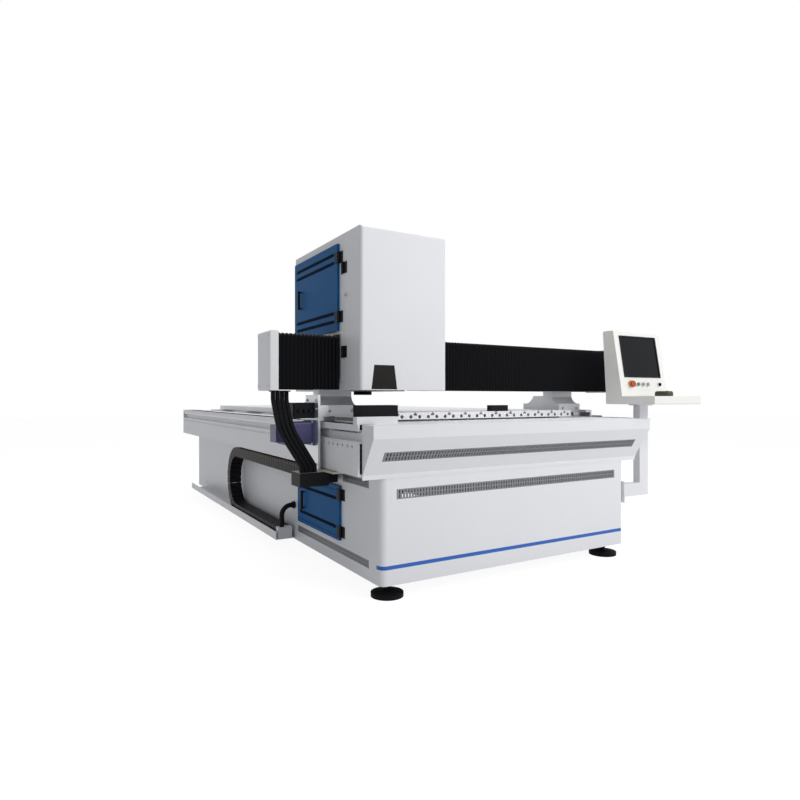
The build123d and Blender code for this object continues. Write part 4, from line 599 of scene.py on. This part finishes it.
def make_chain_run(node, name):
    """Links and pins of a straight run; returns both pieces and the run's box."""
    low, high = [Vector(v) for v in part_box(node)]
    middle_x, width, height = chain_box()
    bm = bmesh.new()
    count = round((high.y - low.y) / LINK_PITCH)
    for i in range(count):
        y = low.y + (i + 0.5) * (high.y - low.y) / count
        add_link(bm, lambda p, y=y: Vector((middle_x + p.x, y + p.y, low.z + p.z)), height, width)
    obj = place_bmesh(name, bm, black_plastic)
    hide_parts(node)
    pins = bmesh.new()
    for i in range(count):
        y = low.y + i * (high.y - low.y) / count
        at = (low.x, y + LINK_PITCH / 2, high.z - 2 * PIN_RADIUS)
        add_round(pins, at, (-1, 0, 0), PIN_RADIUS, PIN_HEIGHT, PIN_SIDES)
    return (obj, place_bmesh(name + "_pins", pins, bronze)), low, high


def make_chain_bend(node, body, first, last, name):
    """Links around part of the bend; angles count from straight down, towards the rear."""
    low_run, high_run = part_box("chain_lower_run"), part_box("chain_upper_run")
    middle_x, width, height = chain_box()
    centre_z = (low_run[0][2] + high_run[1][2]) / 2
    centre_y = high_run[1][1]
    outer = (high_run[1][2] - low_run[0][2]) / 2
    count = max(LEAST_BEND_LINKS, round((last - first) * (outer - height / 2) / LINK_PITCH))
    bm = bmesh.new()
    for i in range(count):
        angle = first + (i + 0.5) * (last - first) / count

        def place(p, angle=angle):
            turn = angle + p.y / (outer - height / 2)
            radius = outer - height + p.z
            return Vector((middle_x + p.x, centre_y + radius * math.sin(turn), centre_z - radius * math.cos(turn)))

        add_link(bm, place, height, width)
    obj = place_bmesh(name, bm, black_plastic)
    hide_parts(node)
    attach(obj, body)


upper, upper_low, upper_high = make_chain_run("chain_upper_run", "chain_links_upper")
for piece in upper:
    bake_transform(piece)
lower, lower_low, lower_high = make_chain_run("chain_lower_run", "chain_links_lower")
for piece in lower:
    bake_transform(piece)
make_chain_bend("chain_bend_lower", "chain_bend_low", 0.0, math.pi / 2, "chain_links_bend_low")
make_chain_bend("chain_bend_upper", "chain_bend_high", math.pi / 2, math.pi, "chain_links_bend_high")


# Fastenings
def add_bolt(bm, at, normal, radius):
    """A socket-head screw with a washer: at is on the surface, normal points out of it."""
    height, socket, washer = BOLT_HEAD_HEIGHT * radius, BOLT_SOCKET * radius, BOLT_WASHER * radius
    matrix = Matrix.Translation(at) @ turn_to(normal)
    add_round(bm, at, normal, BOLT_WASHER_REACH * radius, washer, BOLT_SIDES)

    def ring(reach, z):
        made = []
        for i in range(BOLT_SIDES):
            angle = 2 * math.pi * i / BOLT_SIDES
            r = reach(angle)
            made.append(bm.verts.new(matrix @ Vector((r * math.cos(angle), r * math.sin(angle), z))))
        return made

    def hexagon(angle):
        return socket / math.cos((angle % (math.pi / 3)) - math.pi / 6)

    rings = [
        ring(lambda a: radius, washer), ring(lambda a: radius, washer + BOLT_CHAMFER_START * height),
        ring(lambda a: BOLT_CHAMFER_REACH * radius, washer + height), ring(hexagon, washer + height),
        ring(hexagon, washer + BOLT_SOCKET_FLOOR * height),
    ]
    for first, second in zip(rings, rings[1:]):
        for i in range(BOLT_SIDES):
            j = (i + 1) % BOLT_SIDES
            bm.faces.new((first[i], first[j], second[j], second[i]))
    bm.faces.new(rings[-1])
    bm.faces.new(list(reversed(rings[0])))


def make_bolts(name, places, radius, body, material):
    bm = bmesh.new()
    for at, normal in places:
        add_bolt(bm, Vector(at), normal, radius)
    obj = place_bmesh(name, bm, material)
    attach(obj, body)


def corners(centre, spread, first, second):
    """Four points about a centre, spread along two axes."""
    centre = Vector(centre)
    return [centre + Vector(first) * a * spread[0] + Vector(second) * b * spread[1]
            for a in (-1, 1) for b in (-1, 1)]


X_AXIS, Y_AXIS, Z_AXIS = (1, 0, 0), (0, 1, 0), (0, 0, 1)
cap_low, cap_high = [Vector(v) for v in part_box("bridge_caps")]
cap_middle = (cap_low + cap_high) / 2
cap_spread = ((cap_high.y - cap_low.y) / 2 - CAP_SCREW_INSET, (cap_high.z - cap_low.z) / 2 - CAP_SCREW_INSET)
cap_places = []
for side, x in ((-1, cap_low.x), (1, cap_high.x)):
    for at in corners((x, cap_middle.y, cap_middle.z), cap_spread, Y_AXIS, Z_AXIS):
        cap_places.append((at, (side, 0, 0)))
make_bolts("cap_screws", cap_places, CAP_SCREW, "gantry", white)

plate_low, plate_high = [Vector(v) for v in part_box("drive_plates")]
pinion_low, pinion_high = [Vector(v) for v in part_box("pinions")]
motor_y, motor_z = (pinion_low.y + pinion_high.y) / 2, (pinion_low.z + pinion_high.z) / 2
motor_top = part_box("drive_motors")[1][2]
drive_places = []
for side, x in ((-1, plate_low.x), (1, plate_high.x)):
    for at in corners((x + side * MOTOR_FLANGE, motor_y, motor_z), MOTOR_SCREW_SPREAD, Y_AXIS, Z_AXIS):
        drive_places.append((at, (side, 0, 0)))
    # The right plate is too low for the upper screws
    if side < 0:
        tie = (x, (plate_low.y + plate_high.y) / 2, plate_high.z - TIE_SCREW_DROP)
        for at in corners(tie, TIE_SCREW_SPREAD, Y_AXIS, Z_AXIS):
            drive_places.append((at, (side, 0, 0)))
    for y in (plate_low.y + PLATE_SCREW_INSET, plate_high.y - PLATE_SCREW_INSET):
        drive_places.append(((x, y, plate_low.z + PLATE_SCREW_LIFT), (side, 0, 0)))
make_bolts("drive_screws", drive_places, PLATE_SCREW, "gantry", steel)

feet_low, feet_high = [Vector(v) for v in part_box("bridge_feet")]
foot_places = []
for x in (feet_low.x + FOOT_WIDTH / 2, feet_high.x - FOOT_WIDTH / 2):
    for shift in (-FOOT_SCREW_SHIFT, FOOT_SCREW_SHIFT):
        foot_places.append(((x + shift, feet_low.y, feet_low.z + FOOT_SCREW_LIFT), (0, -1, 0)))
make_bolts("foot_screws", foot_places, PLATE_SCREW, "gantry", steel)

beam_low, beam_high = [Vector(v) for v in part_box("side_beams")]
end_places = []
for x in (beam_low.x + BEAM_WIDTH / 2, beam_high.x - BEAM_WIDTH / 2):
    for at in corners((x, beam_high.y, (beam_low.z + beam_high.z) / 2), BEAM_SCREW_SPREAD, X_AXIS, Z_AXIS):
        end_places.append((at, (0, 1, 0)))
make_bolts("beam_end_screws", end_places, PLATE_SCREW, "bed", steel)

arm_low, arm_high = [Vector(v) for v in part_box("console_arm")]
arm_centre = (arm_low.x + ARM_FLANGE_THICKNESS, (arm_low.y + arm_high.y) / 2, arm_low.z + ARM_FLANGE_HALF)
arm_places = [(at, (1, 0, 0)) for at in corners(arm_centre, ARM_SCREW_SPREAD, Y_AXIS, Z_AXIS)]
make_bolts("arm_screws", arm_places, ARM_SCREW, "bed", steel)


# Left drive motor
def make_junction():
    """Black skin over the junction box, with its lid and glands."""
    bm = bmesh.new()
    x, half = plate_low.x, JUNCTION_DEPTH / 2 + JUNCTION_SKIN
    low = (x - JUNCTION_LENGTH - JUNCTION_SKIN, motor_y - half, motor_top - JUNCTION_HEIGHT - JUNCTION_SKIN)
    high = (x - JUNCTION_GAP, motor_y + half, motor_top + JUNCTION_SKIN)
    add_box(bm, low, high)
    add_box(bm, (low[0] - LID, low[1] + LID, low[2] + LID), (low[0], high[1] - LID, high[2] - LID))
    for shift in GLAND_SHIFTS:
        at = (x - JUNCTION_LENGTH / 2 + shift, low[1], motor_top - JUNCTION_HEIGHT / 2)
        add_round(bm, at, (0, -1, 0), GLAND_RADIUS, GLAND_LENGTH, GLAND_SIDES)
    obj = place_bmesh("junction_box", bm, black_plastic)
    bevel(obj, JUNCTION_BEVEL)
    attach(obj, "gantry")


make_junction()


# Console: screen frame, stop collar, mouse wheel
def panel_frame():
    """Origin, right, up and outward directions of the console's face."""
    screen_low, screen_high = [Vector(v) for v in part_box("console_screen")]
    centre = (screen_low + screen_high) / 2
    across = Vector((math.cos(CONSOLE_YAW), math.sin(CONSOLE_YAW), 0.0))
    back = Vector((-across.y, across.x, 0.0))
    up = back * math.sin(SCREEN_TILT) + Vector((0, 0, 1)) * math.cos(SCREEN_TILT)
    out = across.cross(up)
    return centre + out * SCREEN_HALF_DEPTH, across, up, out


FACE, ACROSS, UP, OUT = panel_frame()


def on_face(across, up, out):
    return FACE + ACROSS * across + UP * up + OUT * out


def make_screen_frame():
    """A bevelled dark frame around the screen."""
    verts, faces = [], []
    for inset, out in FRAME_RINGS:
        w, h = SCREEN_SIZE[0] / 2 - inset, SCREEN_SIZE[1] / 2 - inset
        verts += [on_face(a, b, out) for a, b in ((-w, -h), (w, -h), (w, h), (-w, h))]
    for i in range(len(FRAME_RINGS) - 1):
        for j in range(4):
            k = (j + 1) % 4
            faces.append((4 * i + j, 4 * i + k, 4 * i + 4 + k, 4 * i + 4 + j))
    obj = place_mesh("screen_frame", verts, faces, black_plastic)
    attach(obj, "console")


make_screen_frame()


def make_stop_collar():
    """Yellow ring behind the emergency stop."""
    low, high = [Vector(v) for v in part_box("estop_button")]
    centre = (low + high) / 2
    away = (centre - FACE).dot(OUT)
    base = centre - OUT * away
    bm = bmesh.new()
    add_round(bm, base + OUT * COLLAR_LIFT, OUT, COLLAR_RADII[0], COLLAR_HEIGHT, COLLAR_SIDES, COLLAR_RADII[1])
    obj = place_bmesh("stop_collar", bm, yellow)
    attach(obj, "console")


make_stop_collar()


def make_mouse_wheel():
    low, high = [Vector(v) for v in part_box("console_mouse")]
    bm = bmesh.new()
    middle = Vector(((low.x + high.x) / 2, low.y + WHEEL_FRONT, high.z - WHEEL_DROP))
    add_round(bm, middle - ACROSS * WHEEL_WIDTH / 2, ACROSS, WHEEL_RADIUS, WHEEL_WIDTH)
    obj = place_bmesh("mouse_wheel", bm, black_rubber)
    bevel(obj, WHEEL_BEVEL)
    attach(obj, "console")


make_mouse_wheel()


# Doors: painted shade in their grooves
def paint_groove_shade(node, body, shares):
    """Dark strips of painted shade over a door's grooves, at the given shares of its height."""
    low, high = [Vector(v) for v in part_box(node)]
    bm = bmesh.new()
    for share in shares:
        z = low.z + share * (high.z - low.z)
        add_box(bm, (low.x - LOUVRE_PROUD, low.y + LOUVRE_MARGIN, z - LOUVRE_HEIGHT / 2),
                (low.x + LOUVRE_PROUD, high.y - LOUVRE_MARGIN, z + LOUVRE_HEIGHT / 2))
    obj = place_bmesh(node + "_painted_groove_shade", bm, painted_groove_shade)
    bevel(obj, LOUVRE_PROUD / 2)
    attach(obj, body)


paint_groove_shade("upper_door", "cabinet_door", UPPER_LOUVRES)
paint_groove_shade("lower_door", "bed_door", LOWER_LOUVRES)


# Cabinet: side lock and lens
cover_low, cover_high = [Vector(v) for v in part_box("front_cover")]
lock_bm = bmesh.new()
lock_at = Vector((cover_low.x, cover_high.y - LOCK_INSET, LOCK_Z))
barrel_at, grip_at = lock_at - Vector((ROSETTE, 0, 0)), lock_at - Vector((ROSETTE + BARREL, 0, 0))
add_round(lock_bm, lock_at, (-1, 0, 0), ROSETTE_RADIUS, ROSETTE, LOCK_SIDES)
add_round(lock_bm, barrel_at, (-1, 0, 0), BARREL_RADII[0], BARREL, LOCK_SIDES, BARREL_RADII[1])
add_box(lock_bm, grip_at - Vector((GRIP, GRIP_HALF_WIDTH, GRIP_HALF_HEIGHT)),
        grip_at + Vector((0, GRIP_HALF_WIDTH, GRIP_HALF_HEIGHT)))
cover_lock = place_bmesh("cover_lock", lock_bm, steel)
bevel(cover_lock, LOCK_BEVEL)
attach(cover_lock, "cabinet_cover")

lens_low, lens_high = [Vector(v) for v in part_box("head_lens")]
lens_bm = bmesh.new()
lens_at = ((lens_low.x + lens_high.x) / 2, (lens_low.y + lens_high.y) / 2, lens_low.z + LENS_LIFT)
bmesh.ops.create_uvsphere(lens_bm, u_segments=LENS_SEGMENTS[0], v_segments=LENS_SEGMENTS[1], radius=1.0,
                          matrix=Matrix.Translation(lens_at) @ Matrix.Diagonal((*LENS_HALF_SIZE, 1.0)))
lens_disc = place_bmesh("lens_disc", lens_bm, lens_glass, smooth=True)
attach(lens_disc, "z_head")


# Servo drives behind the lower door
def make_drive_fronts():
    """Raised front covers, terminal strips and fins on the servo drives."""
    low, high = [Vector(v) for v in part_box("electrical_panel")]
    covers, strips = bmesh.new(), bmesh.new()
    middle = (low + high) / 2

    def add_front(bm, y, half_width, z, depths):
        """A block in front of the drives: z counts from their middle, depths from their fronts."""
        add_box(bm, (low.x - depths[1], y - half_width, middle.z + z[0]),
                (low.x - depths[0], y + half_width, middle.z + z[1]))

    for i in range(DRIVE_COUNT):
        y = middle.y + (i - (DRIVE_COUNT - 1) / 2) * DRIVE_PITCH
        add_front(covers, y, DRIVE_HALF_WIDTH, DRIVE_COVER_Z, (0.0, DRIVE_COVER))
        for fin in range(FIN_COUNT):
            z = FIN_START + fin * FIN_PITCH
            add_front(covers, y, FIN_HALF_WIDTH, (z, z + FIN_HEIGHT), (DRIVE_COVER, FIN_DEPTH))
        add_front(strips, y, FIN_HALF_WIDTH, UPPER_TERMINAL_Z, (DRIVE_COVER, UPPER_TERMINAL_DEPTH))
        add_front(strips, y, DRIVE_HALF_WIDTH, LOWER_TERMINAL_Z, (0.0, LOWER_TERMINAL_DEPTH))
    front = place_bmesh("drive_fronts", covers, grey)
    bevel(front, DRIVE_BEVEL)
    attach(front, "bed")
    strip = place_bmesh("drive_terminals", strips, green)
    bevel(strip, TERMINAL_BEVEL)
    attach(strip, "bed")


make_drive_fronts()


# Studio
def seen_rays(nodes, links):
    """1 for rays from the camera, off gloss and through glass."""
    rays = nodes.new("ShaderNodeLightPath")
    total = rays.outputs["Is Camera Ray"]
    for name in ("Is Glossy Ray", "Is Transmission Ray"):
        add = nodes.new("ShaderNodeMath")
        add.operation = "MAXIMUM"
        links.new(total, add.inputs[0])
        links.new(rays.outputs[name], add.inputs[1])
        total = add.outputs["Value"]
    return total


def make_floor():
    size = FLOOR_SIZE / 2
    floor = place_mesh("studio_floor", [(-size, -size, 0), (size, -size, 0), (size, size, 0), (-size, size, 0)],
                       [(0, 1, 2, 3)], white)
    material, nodes, links, bsdf = new_material("studio_white")
    bsdf.inputs["Base Color"].default_value = FLOOR_COLOUR
    bsdf.inputs["Roughness"].default_value = FLOOR_ROUGHNESS
    bsdf.inputs["Specular IOR Level"].default_value = 0.0
    dim = nodes.new("ShaderNodeBsdfDiffuse")
    dim.inputs["Color"].default_value = (FLOOR_SHADE, FLOOR_SHADE, FLOOR_SHADE, 1.0)
    glow = nodes.new("ShaderNodeEmission")
    glow.inputs["Strength"].default_value = FLOOR_GLOW
    both = nodes.new("ShaderNodeAddShader")
    links.new(dim.outputs["BSDF"], both.inputs[0])
    links.new(glow.outputs["Emission"], both.inputs[1])
    mix = nodes.new("ShaderNodeMixShader")
    links.new(seen_rays(nodes, links), mix.inputs["Fac"])
    links.new(bsdf.outputs["BSDF"], mix.inputs[1])
    links.new(both.outputs["Shader"], mix.inputs[2])
    links.new(mix.outputs["Shader"], nodes["Material Output"].inputs["Surface"])
    paint(floor, material)
    floor.location.z = -FLOOR_DROP


def make_world():
    world = bpy.data.worlds.new("studio")
    bpy.context.scene.world = world
    world.use_nodes = True
    nodes, links = world.node_tree.nodes, world.node_tree.links
    soft = nodes["Background"]
    soft.inputs["Color"].default_value = WORLD_TINT
    soft.inputs["Strength"].default_value = WORLD_LIGHT
    seen = nodes.new("ShaderNodeBackground")
    seen.inputs["Color"].default_value = (1.0, 1.0, 1.0, 1.0)
    mix = nodes.new("ShaderNodeMixShader")
    links.new(seen_rays(nodes, links), mix.inputs["Fac"])
    links.new(soft.outputs["Background"], mix.inputs[1])
    links.new(seen.outputs["Background"], mix.inputs[2])
    links.new(mix.outputs["Shader"], nodes["World Output"].inputs["Surface"])


def make_light(name, spec):
    data = bpy.data.lights.new(name, "AREA")
    data.energy = spec["power"]
    data.size = spec["size"]
    light = bpy.data.objects.new(name, data)
    light.location = spec["place"]
    light.rotation_euler = (Vector(spec["target"]) - Vector(spec["place"])).to_track_quat("-Z", "Y").to_euler()
    bpy.context.scene.collection.objects.link(light)


def make_camera():
    data = bpy.data.cameras.new("camera")
    data.lens = CAMERA_LENS
    data.sensor_width = CAMERA_SENSOR
    data.shift_y = CAMERA_SHIFT_Y
    camera = bpy.data.objects.new("camera", data)
    camera.location = CAMERA_PLACE
    camera.rotation_euler = (math.pi / 2, 0.0, CAMERA_YAW)
    bpy.context.scene.collection.objects.link(camera)
    bpy.context.scene.camera = camera


make_floor()
make_world()
make_light("key", KEY_LIGHT)
make_light("top", TOP_LIGHT)
make_camera()
bpy.context.scene.view_settings.view_transform = "Standard"
